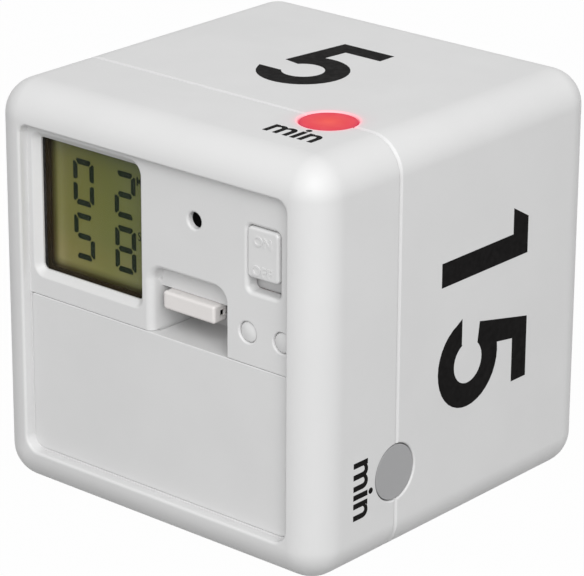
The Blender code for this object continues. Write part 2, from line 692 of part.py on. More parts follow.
def arc_band(middle_y, middle_z, radius, thickness, lead, steps=CORNER_STEPS * 2):
    """The side view of a half-round bend that opens towards the front, with a lead-in below it."""
    inner = radius - thickness / 2
    outer = radius + thickness / 2
    angles = [math.pi * (step / steps - 1 / 2) for step in range(steps + 1)]
    outside = [(middle_y + outer * math.cos(a), middle_z + outer * math.sin(a)) for a in angles]
    inside = [(middle_y + inner * math.cos(a), middle_z + inner * math.sin(a)) for a in angles]
    front = middle_y - lead
    return [(front, middle_z - outer)] + outside + inside[::-1] + [(front, middle_z - inner)]


def make_battery_door(body):
    """The lid, its two hooks, its tongue and the half-round spring at the tongue's end."""
    low_radius = RECESS_RADIUS - REST_GAP
    radii = (low_radius, DOOR_TOP_RADIUS, DOOR_TOP_RADIUS, low_radius)
    outline = rounded_rectangle(-DOOR_HALF, DOOR_HALF, DOOR_BOTTOM, DOOR_TOP, radii)
    door = piece("battery_door", [prism(outline, PANEL_Y, DOOR_BACK_Y)], "white_plastic", body)
    left, right = pocket_span(TONGUE_HALF)
    tongue = rectangle(left, right, DOOR_TOP - TONGUE_THICKNESS, DOOR_TOP)
    join(door, "tongue", prism(tongue, PANEL_Y + DOOR_THICKNESS / 2, BEND_Y))
    left, right = pocket_span(BEND_HALF)
    bend = arc_band(BEND_Y, BEND_Z, BEND_RADIUS, BEND_THICKNESS, OVERLAP)
    join(door, "bend", prism(bend, left, right, FROM_SIDE))
    front = DOOR_BACK_Y - OVERLAP
    leg_front = PANEL_BACK_Y + REST_GAP
    leg_back = leg_front + HOOK_THICKNESS
    arm_bottom = TUB_FLOOR + REST_GAP + SLIP_GAP
    arm_top = arm_bottom + HOOK_ARM
    leg_end = RECESS_MARGIN - HOOK_DROP
    hook = [
        (front, arm_bottom),
        (leg_front, arm_bottom),
        (leg_front, leg_end),
        (leg_back, leg_end),
        (leg_back, arm_top),
        (front, arm_top),
    ]
    hooks = [prism(hook, x - HOOK_HALF, x + HOOK_HALF, FROM_SIDE) for x in (-HOOK_X, HOOK_X)]
    join(door, "hooks", *hooks)
    return door


def make_door_latch(body):
    """The bar that a fingertip presses down, and the arm that carries it on the bend."""
    left, right = pocket_span(BAR_HALF)
    outline = rounded_rectangle(left, right, BAR_BOTTOM, BAR_BOTTOM + BAR_HEIGHT, (BAR_RADIUS,) * 4)
    latch = piece("door_latch", [prism(outline, BAR_Y, BAR_Y + BAR_DEPTH)], "latch_plastic", body)
    root = BEND_Y - REST_GAP
    half = BEND_THICKNESS / 2
    bar_middle = BAR_BOTTOM + BAR_HEIGHT / 2
    tip = BAR_Y + BAR_DEPTH - OVERLAP
    arm = [
        (root, BEND_END_Z - half),
        (root, BEND_END_Z + half),
        (tip, bar_middle + half),
        (tip, bar_middle - half),
    ]
    left, right = pocket_span(LATCH_ARM_HALF)
    join(latch, "arm", prism(arm, left, right, FROM_SIDE))
    end = LATCH_X + BAR_HALF
    notch_top = BAR_BOTTOM + BAR_HEIGHT - BAR_RADIUS
    notch_y = BAR_Y + BAR_DEPTH / 2 - NOTCH_SIDE / 2
    notch = rectangle(notch_y, notch_y + NOTCH_SIDE, notch_top - NOTCH_SIDE, notch_top)
    cut(latch, "notch", prism(notch, end - NOTCH_DEPTH, end + OVERRUN, FROM_SIDE))
    return latch


def make_display(body):
    """The pane, the mask, the two glasses, their holder and the contact strips to the board."""
    pane_half_x = DISPLAY_HALF_X + PANE_MARGIN
    pane_half_z = DISPLAY_HALF_Z + PANE_MARGIN
    pane = display_outline(pane_half_x, pane_half_z, DISPLAY_RADIUS)
    piece("display_window", [prism(pane, PANE_Y, PANE_Y + PANE_THICKNESS)], "clear_plastic", body)
    hole = display_outline(DISPLAY_HALF_X - MASK_LAP, DISPLAY_HALF_Z - MASK_LAP, DISPLAY_RADIUS)
    piece("display_mask", [tube(pane, hole, MASK_Y, MASK_Y + MASK_THICKNESS)], "black_film", body)
    front = block_outline(DISPLAY_X, DISPLAY_Z, GLASS_HALF_X, GLASS_HALF_Z)
    rear = block_outline(DISPLAY_X, DISPLAY_Z, GLASS_HALF_X, REAR_GLASS_HALF_Z)
    front_shape = prism(front, FRONT_GLASS_Y, FRONT_GLASS_Y + GLASS_THICKNESS)
    piece("lcd_front_glass", [front_shape], "display_glass", body)
    rear_shape = prism(rear, REAR_GLASS_Y, REAR_GLASS_Y + GLASS_THICKNESS)
    piece("lcd_rear_glass", [rear_shape], "display_glass", body)
    film_shape = prism(rear, REFLECTOR_Y, REFLECTOR_Y + REFLECTOR_THICKNESS)
    piece("lcd_reflector", [film_shape], "reflector_film", body)
    make_display_holder(body)
    strip_offset = GLASS_HALF_Z - GLASS_LEDGE / 2
    strip_half_z = GLASS_LEDGE / 2 - CONTACT_STRIP_INSET
    for name, side in (("upper", 1), ("lower", -1)):
        z = DISPLAY_Z + side * strip_offset
        strip = block_outline(DISPLAY_X, z, CONTACT_STRIP_HALF_X, strip_half_z)
        shape = prism(strip, REAR_GLASS_Y, BOARD_Y - SLIP_GAP)
        piece("contact_strip_" + name, [shape], "rubber_strip", body)


def make_display_holder(body):
    """A square tube round the glass that reaches back to the board, with a shelf at each side."""
    inner_x = GLASS_HALF_X + SLIP_GAP
    inner_z = GLASS_HALF_Z + SLIP_GAP
    outer = display_outline(inner_x + HOLDER_WALL, inner_z + HOLDER_WALL, HOLDER_RADIUS)
    inner = display_outline(inner_x, inner_z, HOLDER_RADIUS - HOLDER_WALL)
    shape = tube(outer, inner, HOLDER_Y, BOARD_Y - SLIP_GAP)
    holder = piece("lcd_holder", [shape], "white_plastic", body)
    half = (SHELF_WIDTH + OVERLAP) / 2
    shelves = [
        block_outline(DISPLAY_X + side * (inner_x + OVERLAP - half), DISPLAY_Z, half, REAR_GLASS_HALF_Z)
        for side in (-1, 1)
    ]
    join(holder, "shelves", *[prism(shelf, SHELF_Y, SHELF_Y + SHELF_THICKNESS) for shelf in shelves])


def make_light_windows(body):
    """A frosted plug in each number face, with a glued flange inside, and the lamp behind it."""
    inside = INNER_HALF - REST_GAP
    face = HALF - WINDOW_SUNK
    profile = [
        (WINDOW_FLANGE_RADIUS, inside - WINDOW_FLANGE),
        (WINDOW_FLANGE_RADIUS, inside),
        (WINDOW_RADIUS, inside),
        (WINDOW_RADIUS, face - WINDOW_CHAMFER),
        (WINDOW_RADIUS - WINDOW_CHAMFER, face),
    ]
    lamp_top = BOARD_HALF - SLIP_GAP
    lamp_y = BOARD_Y - LAYER_GAP - LAMP_HEIGHT / 2
    for turn, number in enumerate(NUMBER_FACES):
        place = face_place(turn)
        window = turned(profile, WINDOW_OFFSET, SEAM_Y, place)
        piece("light_window_" + str(number), [window], "window_plastic", body)
        lamp = block_outline(WINDOW_OFFSET, lamp_y, LAMP_WIDTH / 2, LAMP_HEIGHT / 2)
        shape = prism(lamp, lamp_top - LAMP_LENGTH, lamp_top, place)
        piece("led_" + str(number), [shape], "lamp_resin", body)


def make_power_switch(case, body):
    """The slider in the panel, the small switch on the board and the lever between them."""
    outline = rounded_block(SWITCH_X, SLIDER_Z, SLIDER_HALF_X, SLIDER_HALF_Z, SLIDER_RADIUS)
    flange_y = PANEL_BACK_Y + SLIP_GAP
    flange_end = flange_y + SLIDER_FLANGE_THICKNESS
    cap = prism(outline, PANEL_Y - SLIDER_PROUD, flange_end - OVERLAP)
    slider = piece("power_slider", [cap], "white_plastic", body)
    reach = SLOT_HALF_Z + SWITCH_TRAVEL / 2 + SLIDER_FLANGE
    flange = block_outline(SWITCH_X, SLIDER_Z, SLOT_HALF_X + SLIDER_FLANGE, reach)
    join(slider, "flange", prism(flange, flange_y, flange_end))
    fork_half = LEVER_HALF + SLIP_GAP + FORK_PRONG
    fork_end = LEVER_TIP_Y + FORK_DEPTH
    fork = block_outline(SWITCH_X, SLIDER_Z, FORK_HALF_X, fork_half)
    join(slider, "fork", prism(fork, flange_end - OVERLAP, fork_end))
    gap = block_outline(SWITCH_X, SLIDER_Z, FORK_HALF_X + OVERRUN, LEVER_HALF + SLIP_GAP)
    cut(slider, "fork_gap", prism(gap, LEVER_TIP_Y - REST_GAP, fork_end + OVERRUN))
    lever = block_outline(SWITCH_X, SLIDER_Z, LEVER_HALF, LEVER_HALF)
    lever_shape = prism(lever, LEVER_TIP_Y, LEVER_TIP_Y + LEVER_LENGTH)
    piece("slide_switch_lever", [lever_shape], "black_plastic", body)
    outline = block_outline(SWITCH_X, SWITCH_Z, SWITCH_BODY_HALF_X, SWITCH_BODY_HALF_Z)
    shape = prism(outline, SWITCH_BODY_Y, SWITCH_BODY_Y + SWITCH_BODY_HEIGHT)
    block = piece("slide_switch_body", [shape], "steel", case)
    slot_half = LEVER_HALF + REST_GAP
    slot = block_outline(SWITCH_X, SWITCH_Z, slot_half, slot_half + SWITCH_TRAVEL / 2)
    slot_end = LEVER_TIP_Y + LEVER_LENGTH + REST_GAP
    cut(block, "slot", prism(slot, SWITCH_BODY_Y - OVERRUN, slot_end))


def make_key(name, x, case, body):
    """A key in the panel, with a stem to the plunger of the small switch behind it."""
    crown = PANEL_Y + KEY_SUNK
    flange_y = PANEL_BACK_Y + SLIP_GAP
    flange_end = flange_y + KEY_FLANGE_THICKNESS
    bevel = KEY_DOME
    profile = [
        (KEY_RADIUS - 2 * bevel, crown),
        (KEY_RADIUS - bevel, crown + KEY_DOME / 4),
        (KEY_RADIUS, crown + KEY_DOME),
        (KEY_RADIUS, flange_y),
        (KEY_FLANGE_RADIUS, flange_y),
        (KEY_FLANGE_RADIUS, flange_end),
        (KEY_STEM_RADIUS, flange_end),
        (KEY_STEM_RADIUS, PLUNGER_Y - SLIP_GAP),
    ]
    button = turned(profile, x, KEY_Z)
    piece(name + "_button", [button], "white_plastic", body)
    plunger = circle(PLUNGER_RADIUS, x, KEY_Z, SMALL_ROUND_SIDES)
    shape = prism(plunger, PLUNGER_Y, KEY_SWITCH_Y + PLUNGER_HIDDEN)
    piece(name + "_key_plunger", [shape], "black_plastic", body)
    outline = block_outline(x, KEY_Z, KEY_SWITCH_HALF, KEY_SWITCH_HALF)
    shape = prism(outline, KEY_SWITCH_Y, KEY_SWITCH_Y + KEY_SWITCH_HEIGHT)
    block = piece(name + "_key_switch", [shape], "steel", case)
    bore = circle(PLUNGER_RADIUS + REST_GAP, x, KEY_Z, SMALL_ROUND_SIDES)
    bore_end = KEY_SWITCH_Y + PLUNGER_HIDDEN + KEY_TRAVEL + REST_GAP
    cut(block, "bore", prism(bore, KEY_SWITCH_Y - OVERRUN, bore_end))


def make_buzzer(body):
    """The sounding disc on its seat, its ceramic layer, and two wires to the board."""
    plate = circle(BUZZER_RADIUS, SOUND_X, SOUND_Z)
    piece("buzzer_plate", [prism(plate, BUZZER_Y, BUZZER_Y + BUZZER_THICKNESS)], "brass", body)
    ceramic = circle(CERAMIC_RADIUS, SOUND_X, SOUND_Z)
    piece("buzzer_ceramic", [prism(ceramic, CERAMIC_Y, CERAMIC_Y + CERAMIC_THICKNESS)], "ceramic", body)
    start = CERAMIC_Y + CERAMIC_THICKNESS + SLIP_GAP
    end = BOARD_Y - SLIP_GAP
    steps = 12
    for name, side, finish in (("a", -1, "wire_red"), ("b", 1, "wire_black")):
        points = []
        for step in range(steps + 1):
            share = step / steps
            sway = WIRE_SPAN * (1 + math.sin(math.pi * share) / 2)
            points.append((SOUND_X + side * sway, start + (end - start) * share, SOUND_Z))
        wire("buzzer_wire_" + name, points, WIRE_RADIUS, finish, body)


def make_board(body):
    """The board with its screw holes, the parts on its back, and its four screws."""
    outline = block_outline(0, HALF, BOARD_HALF, BOARD_HALF)
    board = piece("main_board", [prism(outline, BOARD_Y, BOARD_BACK_Y)], "board_green", body)
    front = BOARD_Y - OVERRUN
    back = BOARD_BACK_Y + OVERRUN
    holes = [circle(BOARD_SCREW_RADIUS + REST_GAP, x, z, SMALL_ROUND_SIDES) for x, z in post_places()]
    holes += [circle(CASE_SCREW_RADIUS + REST_GAP, x, z, SMALL_ROUND_SIDES) for x, z in case_screw_places()]
    cut(board, "holes", *[prism(hole, front, back) for hole in holes])
    head_radius, head_height = BOARD_SCREW_HEAD
    under_head = BOARD_BACK_Y + SLIP_GAP
    for number, (x, z) in enumerate(post_places(), 1):
        profile = [
            (BOARD_SCREW_RADIUS, POST_END_Y - BOARD_SCREW_LENGTH),
            (BOARD_SCREW_RADIUS, under_head),
            (head_radius, under_head),
            (head_radius, under_head + head_height),
        ]
        screw = turned(profile, x, z, sides=SMALL_ROUND_SIDES)
        piece("board_screw_" + str(number), [screw], "steel", body)
    make_board_parts(body)


def make_board_parts(body):
    """The resin drop over the chip, the clock crystal and the capacitor."""
    foot = BOARD_BACK_Y + SLIP_GAP
    drop_shares = ((1, 0), (0.96, 0.35), (0.8, 0.7), (0.5, 0.93), (0.2, 1))
    profile = [(CHIP_RADIUS * wide, foot + CHIP_HEIGHT * high) for wide, high in drop_shares]
    drop = turned(profile, CHIP_X, HALF + CHIP_UP)
    piece("controller_drop", [drop], "chip_resin", body)
    at = Matrix.Translation((CRYSTAL_X, foot + CRYSTAL_RADIUS, HALF + CRYSTAL_UP))
    along = at @ Matrix.Rotation(math.pi / 2, 4, "Y")
    outline = circle(CRYSTAL_RADIUS, sides=SMALL_ROUND_SIDES)
    piece("clock_crystal", [prism(outline, 0, CRYSTAL_LENGTH, along)], "nickel", body)
    outline = circle(CAPACITOR_RADIUS, CAPACITOR_X, HALF + CAPACITOR_UP)
    piece("capacitor", [prism(outline, foot, foot + CAPACITOR_HEIGHT)], "black_plastic", body)


def tilt_place(side):
    """Along runs up a tilt switch, which leans 45 degrees to its side of the cube."""
    y = BOARD_BACK_Y + REST_GAP + TILT_RADIUS
    at = Matrix.Translation((side * TILT_X, y, HALF - BOARD_HALF + TILT_UP))
    return at @ Matrix.Rotation(side * math.pi / 4, 4, "Y")


def make_tilt_switch(name, side, case, body):
    """A can, its plug with two pins to the board, and the ball that rolls away when it tips over."""
    place = tilt_place(side)
    bore = TILT_RADIUS - TILT_WALL
    ball_z = TILT_PLUG + SLIP_GAP + TILT_BALL_RADIUS
    bore_end = ball_z + TILT_TRAVEL + TILT_BALL_RADIUS + SLIP_GAP
    sides = ROUND_SIDES
    profile = [(TILT_RADIUS, 0), (TILT_RADIUS, bore_end + TILT_WALL)]
    can = piece("tilt_can_" + name, [turned(profile, 0, 0, place, sides)], "nickel", case)
    cut(can, "bore", turned([(bore, -OVERRUN), (bore, bore_end)], 0, 0, place, sides))
    profile = [
        (TILT_RADIUS, -SLIP_GAP - TILT_CAP),
        (TILT_RADIUS, -SLIP_GAP),
        (bore - SLIP_GAP, -SLIP_GAP),
        (bore - SLIP_GAP, TILT_PLUG),
    ]
    plug = piece("tilt_plug_" + name, [turned(profile, 0, 0, place, sides)], "black_plastic", case)
    pin_z = -SLIP_GAP - TILT_CAP / 2
    pins = []
    for across in (-TILT_RADIUS / 2, TILT_RADIUS / 2):
        foot = place @ Vector((across, 0, pin_z))
        outline = circle(TILT_PIN_RADIUS, foot.x, foot.z, SMALL_ROUND_SIDES)
        pins.append(prism(outline, BOARD_BACK_Y + SLIP_GAP, foot.y))
    join(plug, "pins", *pins)
    rings = CORNER_STEPS
    profile = []
    for ring in range(rings + 1):
        angle = math.pi * ring / rings
        profile.append((TILT_BALL_RADIUS * math.sin(angle), ball_z - TILT_BALL_RADIUS * math.cos(angle)))
    piece("tilt_ball_" + name, [turned(profile, 0, 0, place, SMALL_ROUND_SIDES)], "nickel", body)


def make_cells(body):
    """Two cells head to tail, the springs at their flat ends and the plates that join them."""
    far = CONTACT_X - REST_GAP
    can_end = far - NUB_LENGTH
    can_start = can_end - CELL_LENGTH
    spring_start = can_start - REST_GAP - SPRING_WIRE_RADIUS
    spring_end = -CONTACT_X + REST_GAP + SPRING_WIRE_RADIUS
    sizes = [(CELL_RADIUS, can_start), (CELL_RADIUS, can_end), (NUB_RADIUS, can_end), (NUB_RADIUS, far)]
    for name, z, side in (("lower", LOWER_CELL_Z, 1), ("upper", UPPER_CELL_Z, -1)):
        place = Matrix.Translation((0, CELL_Y, z)) @ Matrix.Rotation(side * math.pi / 2, 4, "Y")
        cell = turned(sizes, 0, 0, place, ROUND_SIDES)
        piece("battery_" + name, [cell], "cell_wrap", body)
        points = []
        count = round(SPRING_TURNS * SPRING_POINTS_PER_TURN)
        for step in range(count + 1):
            share = step / count
            angle = math.tau * SPRING_TURNS * share
            radius = SPRING_SMALL_RADIUS + (SPRING_LARGE_RADIUS - SPRING_SMALL_RADIUS) * share
            along = spring_start + (spring_end - spring_start) * share
            points.append(place @ Vector((radius * math.cos(angle), radius * math.sin(angle), along)))
        wire("battery_spring_" + name, points, SPRING_WIRE_RADIUS, "steel", body)


def make_contacts(body):
    """The plate that joins the cells at one end, and the two with tails at the other."""
    bottom = LOWER_CELL_Z - CONTACT_HALF
    top = UPPER_CELL_Z + CONTACT_HALF
    bridge = rectangle(CELL_Y - CONTACT_HALF, CELL_Y + CONTACT_HALF, bottom, top)
    shape = prism(bridge, -CONTACT_X - CONTACT_THICKNESS, -CONTACT_X, FROM_SIDE)
    piece("bridge_contact", [shape], "nickel", body)
    tail_end = BOARD_Y - SLIP_GAP
    for name, z in (("positive", LOWER_CELL_Z), ("negative", UPPER_CELL_Z)):
        plate_back = CELL_Y + CONTACT_HALF
        outline = [
            (CELL_Y - CONTACT_HALF, z - CONTACT_HALF),
            (plate_back, z - CONTACT_HALF),
            (plate_back, z - TAIL_HALF),
            (tail_end, z - TAIL_HALF),
            (tail_end, z + TAIL_HALF),
            (plate_back, z + TAIL_HALF),
            (plate_back, z + CONTACT_HALF),
            (CELL_Y - CONTACT_HALF, z + CONTACT_HALF),
        ]
        shape = prism(outline, CONTACT_X, CONTACT_X + CONTACT_THICKNESS, FROM_SIDE)
        piece(name + "_contact", [shape], "nickel", body)


def make_case_screws(body):
    """The long screws, reached through the battery room, that pull the rear shell on."""
    head_radius, head_height = CASE_SCREW_HEAD
    under_head = TUB_BACK_Y - SLIP_GAP
    tip = BOARD_BACK_Y + REST_GAP + CASE_SCREW_BITE
    profile = [
        (head_radius, under_head - head_height),
        (head_radius, under_head),
        (CASE_SCREW_RADIUS, under_head),
        (CASE_SCREW_RADIUS, tip),
    ]
    for name, (x, z) in zip(("left", "right"), case_screw_places()):
        screw = turned(profile, x, z, sides=SMALL_ROUND_SIDES)
        piece("case_screw_" + name, [screw], "steel", body)


def main():
    for item in list(bpy.data.objects):
        bpy.data.objects.remove(item)
    case = new_body("case")
    door = new_body("door", y=PANEL_Y, z=DOOR_BOTTOM)
    latch = new_body("latch", y=LATCH_HINGE_Y, z=BEND_END_Z)
    power_switch = new_body("power_switch", x=SWITCH_X, y=PANEL_Y, z=SLIDER_Z)
    make_front_shell(case)
    make_rear_shell(case)
    make_battery_door(door)
    make_door_latch(latch)
    make_display(case)
    make_light_windows(case)
    make_power_switch(case, power_switch)
    for name, x in KEY_PLACES:
        make_key(name, x, case, new_body(name + "_key", x=x, y=PANEL_Y, z=KEY_Z))
    make_buzzer(case)
    make_board(case)
    for name, side in (("a", -1), ("b", 1)):
        rest = tilt_place(side).translation
        make_tilt_switch(name, side, case, new_body("tilt_ball_track_" + name, rest.x, rest.y, rest.z))
    make_cells(case)
    make_contacts(case)
    make_case_screws(case)


main()
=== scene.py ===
# %% [markdown]
# # A cube timer, dressed
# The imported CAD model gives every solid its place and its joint. This lesson gives the solids the
# skins that the eye meets: soft moulded edges, a display with its digits, printed numbers, one lit
# window, and the cells behind the door. Everything is in metres, with +Z up and the control face
# towards -Y, as in the CAD model.

# %% The frame, and the tools that the lesson uses
import math

import bmesh
import bpy
import numpy as np
from mathutils import Matrix, Vector


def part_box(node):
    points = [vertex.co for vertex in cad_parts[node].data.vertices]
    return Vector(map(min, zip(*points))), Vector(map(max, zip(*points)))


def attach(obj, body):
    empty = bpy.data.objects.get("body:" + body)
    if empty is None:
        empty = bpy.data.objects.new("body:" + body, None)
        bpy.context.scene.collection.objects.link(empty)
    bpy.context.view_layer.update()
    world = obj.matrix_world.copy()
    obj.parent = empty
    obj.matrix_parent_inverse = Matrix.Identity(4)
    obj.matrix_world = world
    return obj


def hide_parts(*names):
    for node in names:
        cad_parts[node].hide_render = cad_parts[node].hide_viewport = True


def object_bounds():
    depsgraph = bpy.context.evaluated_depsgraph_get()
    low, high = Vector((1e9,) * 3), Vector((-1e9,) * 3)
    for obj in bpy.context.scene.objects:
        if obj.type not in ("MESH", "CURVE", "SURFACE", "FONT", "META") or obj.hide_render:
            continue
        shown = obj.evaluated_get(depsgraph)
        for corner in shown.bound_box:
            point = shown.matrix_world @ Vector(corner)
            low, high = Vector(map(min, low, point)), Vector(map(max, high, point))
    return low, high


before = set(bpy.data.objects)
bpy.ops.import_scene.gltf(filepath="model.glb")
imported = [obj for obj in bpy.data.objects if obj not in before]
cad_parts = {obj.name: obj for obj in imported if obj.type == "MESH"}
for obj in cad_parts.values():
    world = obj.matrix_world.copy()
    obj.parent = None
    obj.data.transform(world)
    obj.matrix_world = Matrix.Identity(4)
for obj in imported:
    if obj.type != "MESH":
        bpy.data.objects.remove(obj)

mm = 0.001
cad_low, cad_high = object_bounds()
print("CAD box in mm:", [round(v / mm, 2) for v in (*cad_low, *cad_high)])

# %% [markdown]
# ## Sizes
# Most sizes are read from the frame: the cube's side from its box, the panel's depth from the
# door's front, the seam from the rear shell. Only what a box can't tell, such as the radius of an
# edge, is written here.

# %% Sizes of the cube and of its sunk panel
half = (cad_high.x - cad_low.x) / 2
middle_z = (cad_high.z + cad_low.z) / 2
face_y = cad_low.y
back_y = cad_high.y
panel_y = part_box("battery_door")[0].y
seam_gap = 0.1 * mm
seam_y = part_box("rear_shell")[0].y - seam_gap
wall = 2.0 * mm
edge_radius = 5.4 * mm
recess_half = half - 5.8 * mm
recess_radii = np.array([2.3, 1.7, 1.5, 2.3]) * mm
recess_lip = 0.4 * mm
door_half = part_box("battery_door")[1].x
ledge_half, ledge_y = door_half + 0.05 * mm, panel_y + 0.12 * mm
panel_back_y = panel_y + wall
door_bottom, door_top = 6.1 * mm, 30.2 * mm
gap = 0.3 * mm
door_thick = 1.4 * mm
seat_y = panel_y + door_thick + gap
print(f"half side {half / mm:.1f} mm, panel at {panel_y / mm:.1f}, seam at {seam_y / mm:.1f}")

# %% [markdown]
# ## Surfaces from rings
# A moulded part is mostly rounded rectangles that grow, shrink and sink. So one function gives the
# points of such rings, and another skins them. Round corners keep the same number of points at any
# radius, and the rings therefore always match.

# %% Rings of points
CORNER_POINTS = 13
quarter = np.linspace(0, math.pi / 2, CORNER_POINTS)
ring_angle = (quarter + (np.arange(4)[:, None] - 1) * math.pi / 2).ravel()
OUTWARD = np.column_stack([np.cos(ring_angle), np.sin(ring_angle)])


def rounded_ring(half_x, half_z, radii, centre=(0.0, 0.0)):
    """Rings of points round rounded rectangles, anticlockwise from the lower right corner.

    Each corner is a quarter circle whose centre lies one radius in from both sides. The sizes may
    be arrays with one value for each ring, and radii may hold four columns, one for each corner.
    """
    half_x = np.atleast_1d(np.asarray(half_x, float))[:, None]
    half_z = np.atleast_1d(np.asarray(half_z, float))[:, None]
    radii = np.asarray(radii, float)
    radii = radii if radii.ndim == 2 else np.atleast_1d(radii)[:, None] * np.ones(4)
    radius = np.repeat(radii, CORNER_POINTS, axis=1)
    right = np.repeat([1, 1, -1, -1], CORNER_POINTS)
    upper = np.repeat([-1, 1, 1, -1], CORNER_POINTS)
    across = centre[0] + right * (half_x - radius) + radius * OUTWARD[:, 0]
    up = centre[1] + upper * (half_z - radius) + radius * OUTWARD[:, 1]
    return np.stack([across, up], axis=-1)


def sunk(rings, depths):
    """Sets each ring (across, up) at its depth behind the eye, and turns it to the object's axes."""
    depth = np.broadcast_to(np.asarray(depths, float).reshape(-1, 1), rings.shape[:2])
    return np.stack([rings[..., 0], depth, rings[..., 1]], axis=-1)


def turned(profile, centre=(0.0, 0.0), sides=48):
    """A profile of (radius, along) pairs carried round an axis: (across, up, along) points."""
    radius, along = np.asarray(profile, float).T
    angle = np.arange(sides) * math.tau / sides
    across = centre[0] + radius[:, None] * np.cos(angle)
    up = centre[1] + radius[:, None] * np.sin(angle)
    return np.stack([across, up, np.broadcast_to(along[:, None], across.shape)], axis=-1)


# %% From a ring's own plane to the object's axes
def facing_front(points):
    """Turns (across, up, along) points so that along runs from the control face inwards."""
    return points[..., [0, 2, 1]]


def on_number_face(points, turn):
    """Lays (reading direction, away from the control face, outward) points on a number face.

    The top is turn 0, the right side 1, the bottom 2 and the left side 3: quarter turns about Y.
    """
    u, v, w = np.moveaxis(points, -1, 0)
    cos, sin = round(math.cos(turn * math.pi / 2)), round(math.sin(turn * math.pi / 2))
    return np.stack([u * cos + w * sin, v, middle_z + w * cos - u * sin], axis=-1)


# %% Skins
MERGE = 1e-7


def new_object(name, data):
    """Links new data into the scene, as an object at the origin."""
    made = bpy.data.objects.new(name, data)
    bpy.context.scene.collection.objects.link(made)
    return made


def face_outwards(mesh, merge=0.0):
    """Merges points that are closer than a distance, if there is one, and turns faces outwards."""
    cleaner = bmesh.new()
    cleaner.from_mesh(mesh)
    if merge:
        bmesh.ops.remove_doubles(cleaner, verts=cleaner.verts, dist=merge)
    bmesh.ops.recalc_face_normals(cleaner, faces=cleaner.faces)
    cleaner.to_mesh(mesh)
    cleaner.free()


def skin(name, points, hoop=False):
    """A closed surface through rings of points with the shape (rings, around, 3).

    Neighbouring rings are joined by four-sided faces. Flat faces close the first and last ring,
    unless the rings run round in a hoop.
    """
    rings, around, _ = points.shape
    here = np.arange(around)
    after = (here + 1) % around
    row = np.stack([here, after, after + around, here + around], axis=1)
    rows = rings if hoop else rings - 1
    faces = (row + around * np.arange(rows)[:, None, None]).reshape(-1, 4) % (rings * around)
    faces = faces.tolist()
    if not hoop:
        faces += [here.tolist(), (here + around * (rings - 1)).tolist()]
    mesh = bpy.data.meshes.new(name)
    mesh.from_pydata(points.reshape(-1, 3).tolist(), [], faces)
    face_outwards(mesh, MERGE)
    return new_object(name, mesh)


def round_edge(radius, steps=5):
    """How far a round edge draws in, and how deep it is there, from the flat face to the side."""
    angle = np.linspace(0, math.pi / 2, steps + 1)
    return radius * (1 - np.sin(angle)), radius * (1 - np.cos(angle))


# %% [markdown]
# ## Cutting
# Openings are cut by Booleans, as a mould's core does it. Each cutter is a skin too, and flares at
# its mouth, so that the edge it leaves is round and catches the light. A Bevel after the cut would
# have to find those edges again, and fails where they are uneven.

# %% Joining and cutting
def carve(piece, joined=(), cut=()):
    """Joins some solids to a piece and cuts others out of it, and keeps only the result."""
    for operation, tools in (("UNION", joined), ("DIFFERENCE", cut)):
        if tools:
            group = bpy.data.collections.new(piece.name + "_" + operation)
            for tool in tools:
                group.objects.link(tool)
            boolean = piece.modifiers.new(operation, "BOOLEAN")
            boolean.operation = operation
            boolean.solver = "EXACT"
            boolean.operand_type = "COLLECTION"
            boolean.collection = group
    graph = bpy.context.evaluated_depsgraph_get()
    result = bpy.data.meshes.new_from_object(piece.evaluated_get(graph))
    piece.modifiers.clear()
    piece.data = result
    for tool in (*joined, *cut):
        bpy.data.objects.remove(tool)
    return piece


def box_solid(name, across, deep, up):
    """A plain block from its (low, high) ranges along X, Y and Z, for cutting and joining."""
    (left, right), (low, high) = across, up
    ring = [(left, low), (right, low), (right, high), (left, high)]
    return skin(name, sunk(np.array([ring, ring], float), deep))


def about(middle, reach):
    """The range that reaches equally far to both sides of a middle."""
    return middle - reach, middle + reach


def along_x(name, profile, start, end):
    """A flat profile of (y, z) points carried straight along X."""
    profile = np.asarray(profile, float)
    ends = [np.column_stack([np.full(len(profile), x), profile]) for x in (start, end)]
    return skin(name, np.stack(ends))


# %% [markdown]
# ## Finishes
# Every finish is worked out from Object coordinates. A moulded plastic has three things that a flat
# colour lacks: a tint that drifts a little, a gloss that isn't the same everywhere, and the fine
# spark-eroded grain of the mould. Noise gives all three. A picture could too, but it would need a
# flat layout of every piece, and noise has neither seams nor a finest detail.

# %% Node helpers
def new_finish(name):
    """An empty material with its output, its shader and the place where it reads coordinates."""
    material = bpy.data.materials.new(name)
    material.use_nodes = True
    tree = material.node_tree
    shader = tree.nodes["Principled BSDF"]
    place = tree.nodes.new("ShaderNodeTexCoord").outputs["Object"]
    return material, tree, shader, place


def noise(tree, place, size, detail=3.0):
    """Soft noise whose blobs are about this size, from 0 to 1."""
    made = tree.nodes.new("ShaderNodeTexNoise")
    made.inputs["Scale"].default_value = 1 / size
    made.inputs["Detail"].default_value = detail
    tree.links.new(place, made.inputs["Vector"])
    return made.outputs["Fac"]


def spread(tree, value, low, high, start=0.3, end=0.7):
    """Takes the middle of a noise to a range of its own."""
    made = tree.nodes.new("ShaderNodeMapRange")
    made.interpolation_type = "SMOOTHSTEP"
    for name, number in (("From Min", start), ("From Max", end), ("To Min", low), ("To Max", high)):
        made.inputs[name].default_value = number
    tree.links.new(value, made.inputs["Value"])
    return made.outputs["Result"]


def blend_colours(tree, share, first, second):
    """A colour between two, by a share from 0 to 1. Either may be another node's output."""
    made = tree.nodes.new("ShaderNodeMix")
    made.data_type = "RGBA"
    tree.links.new(share, made.inputs[0])
    for socket, colour in ((made.inputs[6], first), (made.inputs[7], second)):
        if isinstance(colour, bpy.types.NodeSocket):
            tree.links.new(colour, socket)
        else:
            socket.default_value = (*colour, 1)
    return made.outputs[2]


